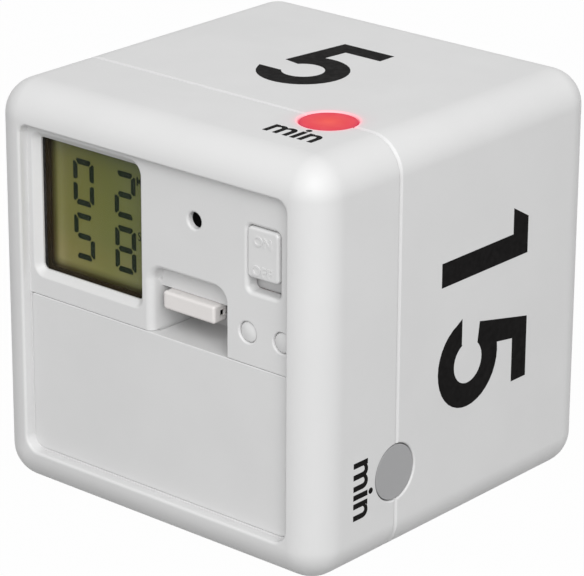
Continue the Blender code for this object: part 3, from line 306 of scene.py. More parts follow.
def drifting_tint(tree, shader, place, size, first, second):
    """A colour that drifts between two, in soft blobs of about this size."""
    drift = spread(tree, noise(tree, place, size), 0.0, 1.0)
    tree.links.new(blend_colours(tree, drift, first, second), shader.inputs["Base Color"])


def uneven_gloss(tree, shader, place, size, low, high):
    """A roughness that drifts between two values, in soft blobs of about this size."""
    tree.links.new(spread(tree, noise(tree, place, size), low, high), shader.inputs["Roughness"])


def grain(tree, shader, place, size, height, strength=0.5):
    """A bump of fine noise."""
    bump = tree.nodes.new("ShaderNodeBump")
    bump.inputs["Distance"].default_value = height
    bump.inputs["Strength"].default_value = strength
    tree.links.new(noise(tree, place, size, 2.0), bump.inputs["Height"])
    tree.links.new(bump.outputs["Normal"], shader.inputs["Normal"])


# %% Moulded plastic and polished metal
def moulded_plastic(name, colour, roughness=0.5, grain_size=0.35 * mm, grain_height=0.004 * mm):
    """Satin plastic: a drifting tint, an uneven gloss and a fine grain."""
    material, tree, shader, place = new_finish(name)
    darker = tuple(channel * 0.975 for channel in colour)
    drifting_tint(tree, shader, place, 14 * mm, darker, colour)
    uneven_gloss(tree, shader, place, 5 * mm, roughness - 0.03, roughness + 0.03)
    grain(tree, shader, place, grain_size, grain_height)
    return material


def polished_metal(name, colour, roughness, spot):
    """Plated or drawn metal, with a gloss that varies from spot to spot."""
    material, tree, shader, place = new_finish(name)
    shader.inputs["Metallic"].default_value = 1.0
    darker = tuple(channel * 0.85 for channel in colour)
    drifting_tint(tree, shader, place, spot, darker, colour)
    uneven_gloss(tree, shader, place, spot / 8, roughness - 0.06, roughness + 0.08)
    return material


# %% [markdown]
# Every new piece rides on a CAD body and stands for the CAD nodes that it covers. Flat faces
# keep flat shading and round edges shade smoothly, because a Weighted Normal modifier lets the
# large faces win.

# %% Dressing a piece
SHARP_ABOVE = math.radians(32)


def dress(piece, material, body, slot, *nodes):
    """Gives a new piece its finish, its shading, its body and the CAD nodes that it stands for."""
    piece.data.materials.clear()
    piece.data.materials.append(material)
    piece.data.shade_smooth()
    piece.data.set_sharp_from_angle(angle=SHARP_ABOVE)
    weighted = piece.modifiers.new("flat_faces_stay_flat", "WEIGHTED_NORMAL")
    weighted.mode = "FACE_AREA"
    weighted.weight = 80
    weighted.keep_sharp = True
    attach(piece, body)
    if nodes:
        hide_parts(*nodes)
    return piece


def paint(node, material):
    """Gives a CAD node a finish and leaves its shape alone."""
    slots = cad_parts[node].data.materials
    slots.clear()
    slots.append(material)


# %% [markdown]
# ## The white case
# Both shells share one white. Round the lit window the wall is thin and lets some of the lamp's
# light through: a bright pink ring hugs the window, and a faint pink fades out around it. That light
# is painted into the finish by how far each point is from that window's middle. Light scattered
# inside the wall would give the same ring from a lamp behind it, but slowly and with noise in the picture.

# %% Colours along a value
def share_of(tree, value, start, end):
    """How far a value has come on its way from start to end, held between 0 and 1."""
    share = tree.nodes.new("ShaderNodeMapRange")
    share.inputs["From Min"].default_value = start
    share.inputs["From Max"].default_value = end
    tree.links.new(value, share.inputs["Value"])
    return share.outputs["Result"]


def ramp(tree, value, stops):
    """Colours along a value, from (place, colour) stops."""
    made = tree.nodes.new("ShaderNodeValToRGB")
    tree.links.new(value, made.inputs[0])
    elements = made.color_ramp.elements
    while len(elements) < len(stops):
        elements.new(0.5)
    for element, (place, colour) in zip(elements, stops):
        element.position = place
        element.color = (*colour, 1)
    return made.outputs["Color"]


def from_lit_window(tree, place, start, end):
    """The distance from the middle of the lit window, as a share of the way from start to end."""
    from_middle = tree.nodes.new("ShaderNodeMapping")
    from_middle.inputs["Location"].default_value = (-window_offsets[0], -seam_y, -2 * half)
    tree.links.new(place, from_middle.inputs["Vector"])
    length = tree.nodes.new("ShaderNodeVectorMath")
    length.operation = "LENGTH"
    tree.links.new(from_middle.outputs["Vector"], length.inputs[0])
    return share_of(tree, length.outputs["Value"], start, end)


# %% The case's white
window_offsets = np.array([18.2, 17.95, 18.2, 18.2]) * mm
window_radius = 4.1 * mm
fade_width = 4.0 * mm
WHITE = (0.66, 0.66, 0.66)
PAINTED_GLOW_PINK = (0.66, 0.50, 0.53)
PAINTED_GLOW_RED = (1.0, 0.06, 0.12)


def case_white(name):
    """Satin white with a painted glow round the lit window: a pink tint and a red emission, fading over
    fade_width.
    """
    material = moulded_plastic(name, WHITE)
    tree = material.node_tree
    shader = tree.nodes["Principled BSDF"]
    place = tree.nodes["Texture Coordinate"].outputs["Object"]
    away = from_lit_window(tree, place, window_radius, window_radius + fade_width)
    # Painted light: a pink tint and a red glow for the lamp's light through the wall, strongest next to the
    # window.
    levels = [(0.0, 1.0), (0.10, 0.85), (0.16, 0.36), (0.35, 0.12), (0.7, 0.03), (1.0, 0.0)]
    share = ramp(tree, away, [(at, (level,) * 3) for at, level in levels])
    plain = shader.inputs["Base Color"].links[0].from_socket
    tree.links.new(blend_colours(tree, share, plain, PAINTED_GLOW_PINK), shader.inputs["Base Color"])
    shader.inputs["Emission Color"].default_value = (*PAINTED_GLOW_RED, 1)
    tree.links.new(spread(tree, share, 0.0, 0.36, 0.0, 1.0), shader.inputs["Emission Strength"])
    return material


white_case = case_white("case_white")
white_control = case_white("control_white")

# %% [markdown]
# ## The front shell
# The front shell is the slice of the cube that carries the control face. In section it is one
# line: from the seat under the door, over the narrow ledge that closes the gap round it, up the
# recess wall, over its lip, round the cube's edge and back to the seam, then inwards over the rim
# and down the inside. Carried round a rounded square, that line is the whole bowl. A cube with a
# Bevel modifier would be quicker to make, but each radius could then not follow the photo's.
#
# A rolling ball makes the cube's edge: at depth r (1 - cos a) the section's corner radius is
# r sin a, and its half side is the flat face's half side plus r sin a.

# %% The bowl of the front shell
def cube_edge(steps=16):
    """(depth below the face, half side, corner radius) round the cube's edge, from the face out."""
    angle = np.linspace(0, math.pi / 2, steps + 1)
    reach = edge_radius * np.sin(angle)
    return edge_radius * (1 - np.cos(angle)), half - edge_radius + reach, reach


def bowl_stations():
    """(depth, half side, corner radius) rows: the seat, the lip, the cube's edge and the hollow."""
    draw, drop = round_edge(recess_lip)
    lip_radii = recess_radii + draw[::-1, None]
    ledge_radii = recess_radii + ledge_half - recess_half
    edge_depth, edge_half, edge_corner = cube_edge()
    seam_draw, seam_drop = round_edge(0.28 * mm, 4)
    rim, rim_y = 0.9 * mm, seam_y + 1.8 * mm
    inner, inner_radius = half - wall, edge_radius - wall
    return [
        ([seat_y, ledge_y], [ledge_half] * 2, [ledge_radii] * 2),
        ([ledge_y], [recess_half], [recess_radii]),
        (face_y + drop[::-1], recess_half + draw[::-1], lip_radii),
        (face_y + edge_depth, edge_half, edge_corner),
        (seam_y - seam_drop[::-1], half - seam_draw[::-1], edge_radius - seam_draw[::-1]),
        ([seam_y, rim_y], [inner + rim] * 2, [inner_radius + rim] * 2),
        ([rim_y, panel_back_y], [inner, inner], [inner_radius] * 2),
    ]


def case_skin(name, stations):
    """Skins rounded squares about the cube's middle, from (depth, half side, corner radius) rows.

    A row's corner radius is one number, or four for the four corners.
    """
    depths, sides, corners = zip(*stations)
    depth, side = np.concatenate(depths), np.concatenate(sides)
    corner = [np.asarray(rows, float) for rows in corners]
    corner = np.vstack([rows if rows.ndim == 2 else rows[:, None] * np.ones(4) for rows in corner])
    return skin(name, sunk(rounded_ring(side, side, corner, (0, middle_z)), depth))


front_case = case_skin("front_case", bowl_stations())
print("front shell's bowl:", len(front_case.data.polygons), "faces")

# %% [markdown]
# An opening in moulded plastic never has a knife edge. At its mouth the wall turns into the face
# round a quarter circle: where the wall has sunk by r (1 - cos a), it still stands out by
# r (1 - sin a). The cutter leaves the face at a slope of ten degrees, because a Boolean can't tell
# which side is which where two surfaces only touch.

# %% Cutters with a round mouth
def mouth_rings(radius, steps=7, slope=math.radians(10), above=0.1 * mm):
    """How far each ring of a mouth stands out, and how deep it lies: r (1 - sin a), r (1 - cos a).

    The radius may be one number, or one for each point of the outline.
    """
    angle = np.linspace(slope, math.pi / 2, steps)[:, None]
    radius = np.atleast_1d(radius)
    stands_out = radius * (1 - np.sin(angle))
    depth = radius * (1 - np.cos(angle))
    first = stands_out[:1] + (above + depth[:1]) / math.tan(slope)
    return np.vstack([first, stands_out]), np.vstack([np.full_like(first, -above), depth])


def opening_rings(outline, mouth, start, end, end_round=0.0):
    """(across, up, along) rings of a cutter: the round mouth, the wall, and the round far end."""
    around = np.ones(len(outline))
    stands_out, depth = mouth_rings(mouth)
    turn = np.linspace(0, math.pi / 2, 5 if np.any(end_round) else 1)[:, None]
    drawn_in = -end_round * (1 - np.cos(turn))
    last = end - end_round * (1 - np.sin(turn))
    flat = outline + OUTWARD * np.vstack([stands_out * around, drawn_in * around])[..., None]
    return np.dstack([flat, np.vstack([(start + depth) * around, last * around])])


def opening(name, outline, mouth, end, end_round=0.0):
    """A cutter that enters the control panel at its front."""
    return skin(name, facing_front(opening_rings(outline, mouth, panel_y, end, end_round)))


# %% [markdown]
# The openings of the control panel are the display's, the sound hole, the slot of the power
# slider, two key holes and the finger pocket. The pocket's left wall rolls in over half its depth,
# its top over a quarter of it, and its right edge is crisp.

# %% Places on the control panel and behind it
display_x, display_z = -13.525 * mm, 44.15 * mm
display_half_x, display_half_z = 9.775 * mm, 10.05 * mm
sound_place = (7.2 * mm, 48.9 * mm)
slot_x, slot_z = 19.9 * mm, 45.95 * mm
slot_half_x, slot_half_z = 2.93 * mm, 4.8 * mm
key_boxes = [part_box(side + "_button") for side in ("left", "right")]
key_places = [((low.x + high.x) / 2, (low.z + high.z) / 2) for low, high in key_boxes]
latch_low, latch_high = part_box("door_latch")
latch_x = (latch_low.x + latch_high.x) / 2
pocket_half, pocket_top, pocket_y = 7.15 * mm, door_top + 10 * mm, panel_y + 2.4 * mm
room_half, room_top, room_back = 7.15 * mm, 36.74 * mm, -17.5 * mm
tub_half, tub_floor, tub_ceiling, tub_back = 24.3 * mm, 6.7 * mm, 29.6 * mm, -15.9 * mm
behind = panel_back_y - 0.1 * mm
hook_places = (-11.5 * mm, 11.5 * mm)
cell_heights = (12.4 * mm, 23.1 * mm)
screw_places = [(-14.0 * mm, 17.75 * mm), (14.0 * mm, 17.75 * mm)]
post_reach = 25.8 * mm
post_places = [(x, z) for x in about(0.0, post_reach) for z in about(middle_z, post_reach)]
print("keys at", [(round(x / mm, 2), round(z / mm, 2)) for x, z in key_places])


# %% What stands behind the panel
def upper_panel():
    """The slab above the door: a side view with a round lower front edge, carried along X."""
    draw, drop = round_edge(0.12 * mm)
    bottom, top, back = door_top + 0.08 * mm, middle_z + recess_half + gap, panel_back_y - 0.05 * mm
    lower_edge = zip(panel_y + drop[::-1], bottom + draw[::-1])
    side = [(back, top), (back, bottom), *lower_edge, (panel_y, top)]
    return along_x("upper_panel", side, -recess_half - gap, recess_half + gap)


def round_post(name, radius, place, start, end):
    """A straight pin along Y, for joining and cutting: one circle carried from start to end."""
    return skin(name, facing_front(turned([(radius, start), (radius, end)], place, 32)))


def panel_fittings():
    """What stands on the panel's back: battery room, pocket, latch room, sound seat and posts."""
    tub_wall, thin_wall = 1.2 * mm, 0.8 * mm
    outer, inner, seat_end = 7.65 * mm, 6.25 * mm, -25.4 * mm
    seat = turned([(outer, behind), (outer, seat_end), (inner, seat_end), (inner, behind)], sound_place)
    blocks = [
        upper_panel(),
        box_solid("battery_room_wall", about(0.0, tub_half + tub_wall), (behind, tub_back + 1.0 * mm),
                  (tub_floor - tub_wall, tub_ceiling + tub_wall)),
        box_solid("pocket_wall", about(latch_x, pocket_half + thin_wall), (behind, pocket_y + thin_wall),
                  (tub_ceiling, pocket_top + thin_wall)),
        box_solid("latch_room_wall", about(latch_x, room_half + thin_wall), (behind, room_back + thin_wall),
                  (tub_ceiling, room_top + thin_wall)),
        skin("sound_seat", facing_front(seat), hoop=True),
    ]
    return blocks + [round_post("post", 1.5 * mm, place, behind, -13.75 * mm) for place in post_places]


# %% The openings of the panel
def pocket_cutter():
    """The finger pocket: a crisp right edge, a soft left one, and a far end that is round on top."""
    low = door_top - 0.2 * mm
    corners = np.array([[0, 2.3, 2.3, 0]]) * mm
    centre = (latch_x, (low + pocket_top) / 2)
    outline = rounded_ring(pocket_half, (pocket_top - low) / 2, corners, centre)[0]
    right, top, left = 0.2 * mm, 0.6 * mm, 1.2 * mm
    turn = np.linspace(0, 1, CORNER_POINTS)
    mouth = np.concatenate([np.full(CORNER_POINTS, right), right + (top - right) * turn,
                            top + (left - top) * turn, np.full(CORNER_POINTS, left)])
    end_round = np.concatenate([0 * turn, turn, turn[::-1], 0 * turn]) * 0.5 * mm
    return opening("pocket", outline, mouth, pocket_y, end_round)


def display_cutter():
    """The display's bevel at 45 degrees with a softened rim, its lip, and the pane's seat."""
    stands_out = np.array([1.55, 1.0, 0.9, 0.8, 0.0, 0.0, 1.15, 1.15]) * mm
    depth = np.array([-0.1, 0.02, 0.08, 0.17, 1.0, 1.3, 1.3, 3.0]) * mm
    corners = np.array([[0.6, 1.3, 0.5, 0.9]]) * mm
    outline = rounded_ring(display_half_x, display_half_z, corners, (display_x, display_z))[0]
    flat = outline + OUTWARD * stands_out[:, None, None]
    along = panel_y + depth[:, None] * np.ones(len(outline))
    return skin("display_opening", facing_front(np.dstack([flat, along])))


def round_outline(radius, place):
    """A round opening's outline, with the points of a rounded square."""
    return rounded_ring(radius, radius, radius, place)[0]


def panel_cutters():
    """Every opening through the panel and the battery room's walls."""
    through = panel_back_y + 1.0 * mm
    room_floor = (tub_back - gap, tub_back + 1.3 * mm)
    slot = rounded_ring(slot_half_x, slot_half_z, 0.8 * mm, (slot_x, slot_z))[0]
    hook_deep, hook_up = (panel_back_y, -25.48 * mm), (tub_floor - 1.5 * mm, tub_floor + gap)
    return [
        display_cutter(),
        pocket_cutter(),
        opening("sound_hole", round_outline(1.2 * mm, sound_place), 0.38 * mm, through),
        round_post("sound_chamber", 5.6 * mm, sound_place, panel_y + 1.0 * mm, through),
        opening("slider_slot", slot, 0.6 * mm, through),
        *[opening("key_hole", round_outline(1.57 * mm, place), 0.25 * mm, through) for place in key_places],
        box_solid("cell_room", about(0.0, tub_half), (panel_y, tub_back), (tub_floor, tub_ceiling)),
        box_solid("latch_room", about(latch_x, room_half), (panel_y - gap, room_back),
                  (tub_ceiling - gap, room_top)),
        *[box_solid("hook_slot", about(x, 2.8 * mm), hook_deep, hook_up) for x in hook_places],
        *[round_post("case_screw_hole", 1.3 * mm, place, *room_floor) for place in screw_places],
        *[box_solid("tail_slot", (22.65 * mm, 24.25 * mm), room_floor, about(z, 1.1 * mm))
          for z in cell_heights],
        *[round_post("pilot", 0.75 * mm, place, -19.0 * mm, -13.0 * mm) for place in post_places],
    ]


# %% Cutting the front shell
def window_cutters():
    """A round hole with a soft rim through each number face, half in each shell."""
    cutters = []
    for turn, offset in enumerate(window_offsets):
        outline = round_outline(window_radius + 0.15 * mm, (offset, seam_y))
        rings = opening_rings(outline, 0.3 * mm, 0.0, 3.5 * mm)
        rings[..., 2] = half - rings[..., 2]
        cutters.append(skin("window_hole", on_number_face(rings, turn)))
    return cutters


carve(front_case, panel_fittings(), panel_cutters() + window_cutters())
dress(front_case, white_control, "case", "white_control", "front_shell")
print("front shell:", len(front_case.data.polygons), "faces")

# %% [markdown]
# ## The rear shell
# The other three quarters of the cube are a deep cup. It starts with a narrow chamfer at the seam,
# which is the bright line that runs round the cube, and ends in the same round edge as the front.
# One function skins both shells, so their outer walls line up across the seam.

# %% The rear shell
def cup_stations():
    """The hollow's rows from its bottom forwards, then the groove, the seam and the back face."""
    start, rim_end = seam_y + seam_gap, seam_y + 2.1 * mm
    inner, inner_radius, groove, chamfer = half - wall, edge_radius - wall, 1.05 * mm, 0.5 * mm
    edge_depth, edge_half, edge_corner = cube_edge()
    return [
        ([back_y - wall, rim_end], [inner] * 2, [inner_radius] * 2),
        ([rim_end, start], [inner + groove] * 2, [inner_radius + groove] * 2),
        ([start, start + chamfer], [half - chamfer, half], [edge_radius - chamfer, edge_radius]),
        (back_y - edge_depth[::-1], edge_half[::-1], edge_corner[::-1]),
    ]


def screw_towers():
    """Round towers for the case screws, on webs that rise from the floor."""
    towers, back = [], back_y - wall + gap
    for x, z in screw_places:
        towers.append(round_post("tower", 2.6 * mm, (x, z), -12.1 * mm, back))
        towers.append(box_solid("web", about(x, 0.8 * mm), (-7.1 * mm, back), (wall - 0.15 * mm, z)))
    return towers


rear_case = case_skin("rear_case", cup_stations())
tower_holes = [round_post("tower_hole", 1.15 * mm, place, -13.0 * mm, -6.5 * mm) for place in screw_places]
carve(rear_case, screw_towers(), tower_holes + window_cutters())
dress(rear_case, white_case, "case", "white_case", "rear_shell")
print("rear shell:", len(rear_case.data.polygons), "faces")

# %% [markdown]
# ## The battery door
# The door is a thin plate with a soft front edge. A tongue at its upper edge runs back through the
# pocket and bends over like a hairpin, which is the spring, and two hooks hold its lower edge. A
# front edge rounded by rings catches one thin line of light, which a sharp plate wouldn't show.

# %% Soft plates
def soft_plate(name, outline, front, back, edge):
    """A plate whose front edge is round: rings draw in and come forward round a quarter circle."""
    draw, drop = round_edge(edge)
    inwards = np.append(draw, 0.0)
    along = np.append(front + drop, back)
    flat = outline - OUTWARD * inwards[:, None, None]
    return skin(name, facing_front(np.dstack([flat, along[:, None] * np.ones(len(outline))])))


def hairpin(centre, radius, thickness, steps=16):
    """The side view of the half-round spring that opens towards the front."""
    angle = np.linspace(-math.pi / 2, math.pi / 2, steps)
    outer, inner = [np.column_stack([centre[0] + r * np.cos(angle), centre[1] + r * np.sin(angle)])
                    for r in (radius + thickness / 2, radius - thickness / 2)]
    front = centre[0] - gap
    return np.vstack([[(front, outer[0, 1])], outer, inner[::-1], [(front, inner[0, 1])]])


def hook_side():
    """The side view of a hook: an arm back from the door, and a leg down from it."""
    front, leg_front, leg_back = -28.05 * mm, -27.1 * mm, -26.2 * mm
    arm_top, arm_bottom, leg_end, bevel = 8.35 * mm, 7.15 * mm, 4.4 * mm, 0.2 * mm
    return [(front, arm_bottom), (leg_front, arm_bottom), (leg_front, leg_end + bevel),
            (leg_front + bevel, leg_end), (leg_back - bevel, leg_end), (leg_back, leg_end + bevel),
            (leg_back, arm_top), (front, arm_top)]


# %% The door
door_centre = (0.0, (door_bottom + door_top) / 2)
door_corners = np.array([[2.0, 0.5, 0.5, 2.0]]) * mm
door_outline = rounded_ring(door_half, (door_top - door_bottom) / 2, door_corners, door_centre)[0]
lid = soft_plate("door", door_outline, panel_y, panel_y + door_thick, edge=0.16 * mm)
bend = hairpin(centre=(-21.3 * mm, 31.9 * mm), radius=2.4 * mm, thickness=1.2 * mm)
door_parts = [
    box_solid("tongue", about(latch_x, 6.7 * mm), (panel_y + 0.5 * mm, -19.7 * mm),
              (door_top - door_thick, door_top)),
    along_x("bend", bend, *about(latch_x, 4.5 * mm)),
    *[along_x("hook", hook_side(), *about(x, 2.5 * mm)) for x in hook_places],
]
carve(lid, door_parts)
dress(lid, moulded_plastic("door_white", WHITE), "door", "white_control", "battery_door")
print("door:", len(lid.data.polygons), "faces")

# %% [markdown]
# ## The latch
# The bar in the pocket takes the fingertip. It is a soft block on an arm, rounder at its left end,
# and a deep square hole in its right end shows where the mould's core pin stood. The bar is a
# rounded rectangle carried along X, because its two ends need different rounds.

# %% The latch's bar and arm
bar_low, bar_high = Vector((0.1, -28.5, 33.95)) * mm, Vector((10.0, -25.7, 36.66)) * mm
notch_y, notch_z = np.array([(-27.2, -26.2), (34.85, 35.8)]) * mm


def soft_bar(name, low, high, edge, left_round, right_round):
    """A rounded bar along X. Its section draws in at both ends round quarter circles."""
    turn = np.linspace(0, math.pi / 2, 7)
    draw, along = 1 - np.sin(turn), 1 - np.cos(turn)
    inwards = np.concatenate([left_round * draw, right_round * draw[::-1]])
    x = np.concatenate([low.x + left_round * along, high.x - right_round * along[::-1]])
    half_y, half_z = (high.y - low.y) / 2 - inwards, (high.z - low.z) / 2 - inwards
    radius = np.maximum(edge - inwards, 0.05 * mm)
    flat = rounded_ring(half_y, half_z, radius, ((low.y + high.y) / 2, (low.z + high.z) / 2))
    return skin(name, np.dstack([x[:, None] * np.ones(flat.shape[1]), flat]))


latch_bar = soft_bar("latch", bar_low, bar_high, edge=0.45 * mm, left_round=0.8 * mm, right_round=0.42 * mm)
arm_side = np.array([(-21.6, 33.7), (-21.6, 34.9), (-26.8, 36.2), (-26.8, 35.0)]) * mm
latch_arm = along_x("latch_arm", arm_side, latch_x - 4.0 * mm, latch_x + 3.4 * mm)
notch = box_solid("notch", (bar_high.x - 3.0 * mm, bar_high.x + 1.0 * mm), notch_y, notch_z)
carve(latch_bar, [latch_arm], [notch])
latch_white = moulded_plastic("latch_white", (0.73, 0.705, 0.69), 0.4)
dress(latch_bar, latch_white, "latch", "latch_plastic", "door_latch")
print("latch:", len(latch_bar.data.polygons), "faces")

# %% [markdown]
# ## Two dark holes
# The hole in the latch's end and the sound hole look black in the photo. A bare hole in white
# plastic comes out grey, because its walls pass the light on. So the shade in both is painted: the
# first gets a black lining and the second a black disc behind it, both in a deep and matt black.

# %% Matt black
def matt_black(name, colour, level=0.1):
    """Ink or film: nearly black, matt, with a faint mottle."""
    material, tree, shader, place = new_finish(name)
    lighter = tuple(channel * 1.5 for channel in colour)
    drifting_tint(tree, shader, place, 1.2 * mm, colour, lighter)
    uneven_gloss(tree, shader, place, 0.8 * mm, 0.62, 0.74)
    shader.inputs["Specular IOR Level"].default_value = level
    return material


# %% The black lining and disc: painted shade in the two holes
painted_shade_black = matt_black("painted_shade_black", (0.0016, 0.0015, 0.0015), 0.02)
# Painted shade: a black lining stands in for the shadow inside the latch's pin hole.
shade_lining_x, shade_lining_wall = bar_high.x + np.array([-3.1, -0.45]) * mm, np.array([-0.05, 0.05]) * mm
painted_shade_lining = box_solid("latch_pin_hole_shade", shade_lining_x, notch_y + shade_lining_wall, notch_z + shade_lining_wall)
dress(painted_shade_lining, painted_shade_black, "latch", "latch_plastic")
# Painted shade: a black disc behind the sound hole stands in for the dark inside.
sound_hole_shade = round_post("sound_hole_shade_disc", 2.6 * mm, sound_place, panel_y + 1.05 * mm, panel_y + 1.25 * mm)
dress(sound_hole_shade, painted_shade_black, "case", "black_film")
print("sound_hole_shade", round(sound_hole_shade.dimensions.x / mm, 2), "mm across")

# %% [markdown]
# ## The power slider
# A plate with a round edge fills the upper part of its slot, with ON and OFF raised on it by a
# little more than a tenth of a millimetre. Behind it a wide flange closes the slot's free part.
# The letters are real solids and no bump, because they cast the small shadows that make them
# readable. They are text made into a mesh, and only then put in place.

# %% Raised and printed words
def words_mesh(text, height, thickness, bold=0.0):
    """A word as a solid in its own plane, its middle at the origin, as tall as its capitals."""
    curve = bpy.data.curves.new(text, "FONT")
    curve.body = text
    curve.align_x, curve.align_y = "CENTER", "CENTER"
    curve.size = 1.0
    curve.offset = bold
    carrier = new_object(text, curve)
    bpy.context.view_layer.update()
    flat = bpy.data.meshes.new_from_object(carrier)
    bpy.data.objects.remove(carrier)
    solid = bmesh.new()
    solid.from_mesh(flat)
    bmesh.ops.remove_doubles(solid, verts=solid.verts, dist=1e-4)
    side = bmesh.ops.extrude_face_region(solid, geom=solid.faces[:])
    raised = [item for item in side["geom"] if isinstance(item, bmesh.types.BMVert)]
    bmesh.ops.translate(solid, verts=raised, vec=(0, 0, 1))
    bmesh.ops.recalc_face_normals(solid, faces=solid.faces)
    made = bpy.data.meshes.new(text + "_word")
    solid.to_mesh(made)
    solid.free()
    points = np.empty(len(made.vertices) * 3)
    made.vertices.foreach_get("co", points)
    points = points.reshape(-1, 3)
    low, high = points.min(0), points.max(0)
    scale = height / (high[1] - low[1])
    points[:, :2] = (points[:, :2] - (low + high)[:2] / 2) * scale
    points[:, 2] *= thickness
    return made, points


def put_words(name, text, height, thickness, place, bold=0.0):
    """A word whose points are taken to their place by a function, as an object at the origin."""
    made, points = words_mesh(text, height, thickness, bold)
    made.vertices.foreach_set("co", place(points).ravel())
    made.update()
    face_outwards(made)
    return new_object(name, made)


def raised_at(x, z, front, stretch=1.0):
    """Stands a word on the panel: its plane faces the front, and its thickness comes forward."""
    foot = front + 0.05 * mm
    return lambda points: np.column_stack([x + stretch * points[:, 0], foot - points[:, 2], z + points[:, 1]])


# %% The slider
slider_z, slider_front = 46.98 * mm, -29.6 * mm
slider_outline = rounded_ring(2.82 * mm, 3.68 * mm, 0.7 * mm, (slot_x, slider_z))[0]
slider = soft_plate("slider", slider_outline, slider_front, -26.7 * mm, edge=0.4 * mm)
flange = box_solid("flange", about(slot_x, 3.6 * mm), (-26.95 * mm, -26.45 * mm), (41.0 * mm, 51.6 * mm))
prongs = [
    box_solid("prong", (slot_x - 1.4 * mm, slot_x + 1.6 * mm), (-26.5 * mm, -25.25 * mm), about(z, 0.7 * mm))
    for z in (45.55 * mm, 48.75 * mm)
]
carve(slider, [flange, *prongs])
slider_white = moulded_plastic("slider_white", WHITE, 0.36)
dress(slider, slider_white, "power_switch", "white_control", "power_slider")

# %% The slider's two words
for text, x, z, stretch in (("ON", slot_x, 48.85 * mm, 1.08),
                            ("OFF", slot_x - 0.1 * mm, 44.55 * mm, 1.1)):
    place = raised_at(x, z, slider_front, stretch)
    word = put_words("slider_" + text.lower(), text, 1.45 * mm, 0.17 * mm, place, bold=0.02)
    dress(word, slider_white, "power_switch", "white_control")
    print(text, "is", round(word.dimensions.x / mm, 2), "mm wide")

# %% [markdown]
# ## The two keys
# Each key is a short turned pin with a low dome, held behind the panel by its flange. A profile
# carried round the pin's axis gives dome, rim, flange and shank in one skin, without a seam.

# %% The keys
def key_profile(end):
    """Radius and place along the axis: dome, round rim, stem, flange and shank up to its end."""
    radius, edge, flange, shank = 1.51 * mm, 0.3 * mm, 2.4 * mm, 1.1 * mm
    crown, flange_start, flange_end = -29.36 * mm, -27.25 * mm, -26.65 * mm
    rim = crown + 0.2 * mm
    dome, turn = np.linspace(0, 1, 7), np.linspace(0, math.pi / 2, 6)
    rows = [(0.0, crown)]
    rows += [((radius - edge) * d, crown + (rim - crown) * d * d) for d in dome[1:]]
    rows += [(radius - edge + edge * math.sin(t), rim + edge * (1 - math.cos(t))) for t in turn[1:]]
    rows += [(radius, flange_start), (flange, flange_start), (flange, flange_end)]
    return rows + [(shank, flange_end), (shank, end), (0.0, end)]


key_white = moulded_plastic("key_white", WHITE, 0.36)
for side, place, (low, high) in zip(("left", "right"), key_places, key_boxes):
    key = skin(side + "_key", facing_front(turned(key_profile(high.y), place)))
    dress(key, key_white, side + "_key", "white_control", side + "_button")
print("keys reach from", round(low.y / mm, 2), "to", round(high.y / mm, 2))

# %% [markdown]
# ## The light windows
# Each number face has a frosted plug on the seam, with a lamp behind it. Unlit it is a plain grey.
# The one on top is lit: the lamp stands under its middle, so the red is warmer there and cooler
# towards the rim. A real lamp and a translucent plug would need many rays to come out this even,
# so the plug itself gives off the colours that the lamp would show through it.

# %% The windows' shapes and finishes
def window_profile():
    """From the inner end outwards: flange, shank, round rim and flat top, sunk a little in its hole."""
    top, edge = half - 0.14 * mm, 0.12 * mm
    flange_radius, flange_start, flange_end = 5.2 * mm, half - wall - 1.0 * mm, half - wall - 0.1 * mm
    turn = np.linspace(0, math.pi / 2, 6)
    rows = [(0.0, flange_start), (flange_radius, flange_start), (flange_radius, flange_end),
            (window_radius, flange_end)]
    rows += [(window_radius - edge * (1 - math.cos(t)), top - edge * (1 - math.sin(t))) for t in turn]
    return rows + [(0.0, top)]


def lit_red():
    """A frosted plug lit from below: warm where the lamp is nearest, deeper red at the rim."""
    material, tree, shader, place = new_finish("lit_window")
    away = from_lit_window(tree, place, 0.3 * mm, window_radius)
    stops = [(0.0, (0.60, 0.070, 0.045)), (0.45, (0.54, 0.040, 0.045)),
             (0.85, (0.52, 0.026, 0.050)), (1.0, (0.40, 0.022, 0.060))]
    tree.links.new(ramp(tree, away, stops), shader.inputs["Emission Color"])
    shader.inputs["Emission Strength"].default_value = 1.0
    shader.inputs["Base Color"].default_value = (0.25, 0.03, 0.035, 1)
    shader.inputs["Specular IOR Level"].default_value = 0.12
    uneven_gloss(tree, shader, place, 2 * mm, 0.55, 0.65)
    return material


grey_window = moulded_plastic("grey_window", (0.325, 0.325, 0.33), 0.4)
red_window = lit_red()
for turn, number in enumerate((5, 15, 30, 60)):
    plug = turned(window_profile(), (window_offsets[turn], seam_y))
    window = skin(f"window_{number}", on_number_face(plug, turn))
    finish, slot_name = (red_window, "lit_window") if number == 5 else (grey_window, "grey_window")
    dress(window, finish, "case", slot_name, f"light_window_{number}")
print("four light windows, each", round(2 * window_radius / mm, 1), "mm across")
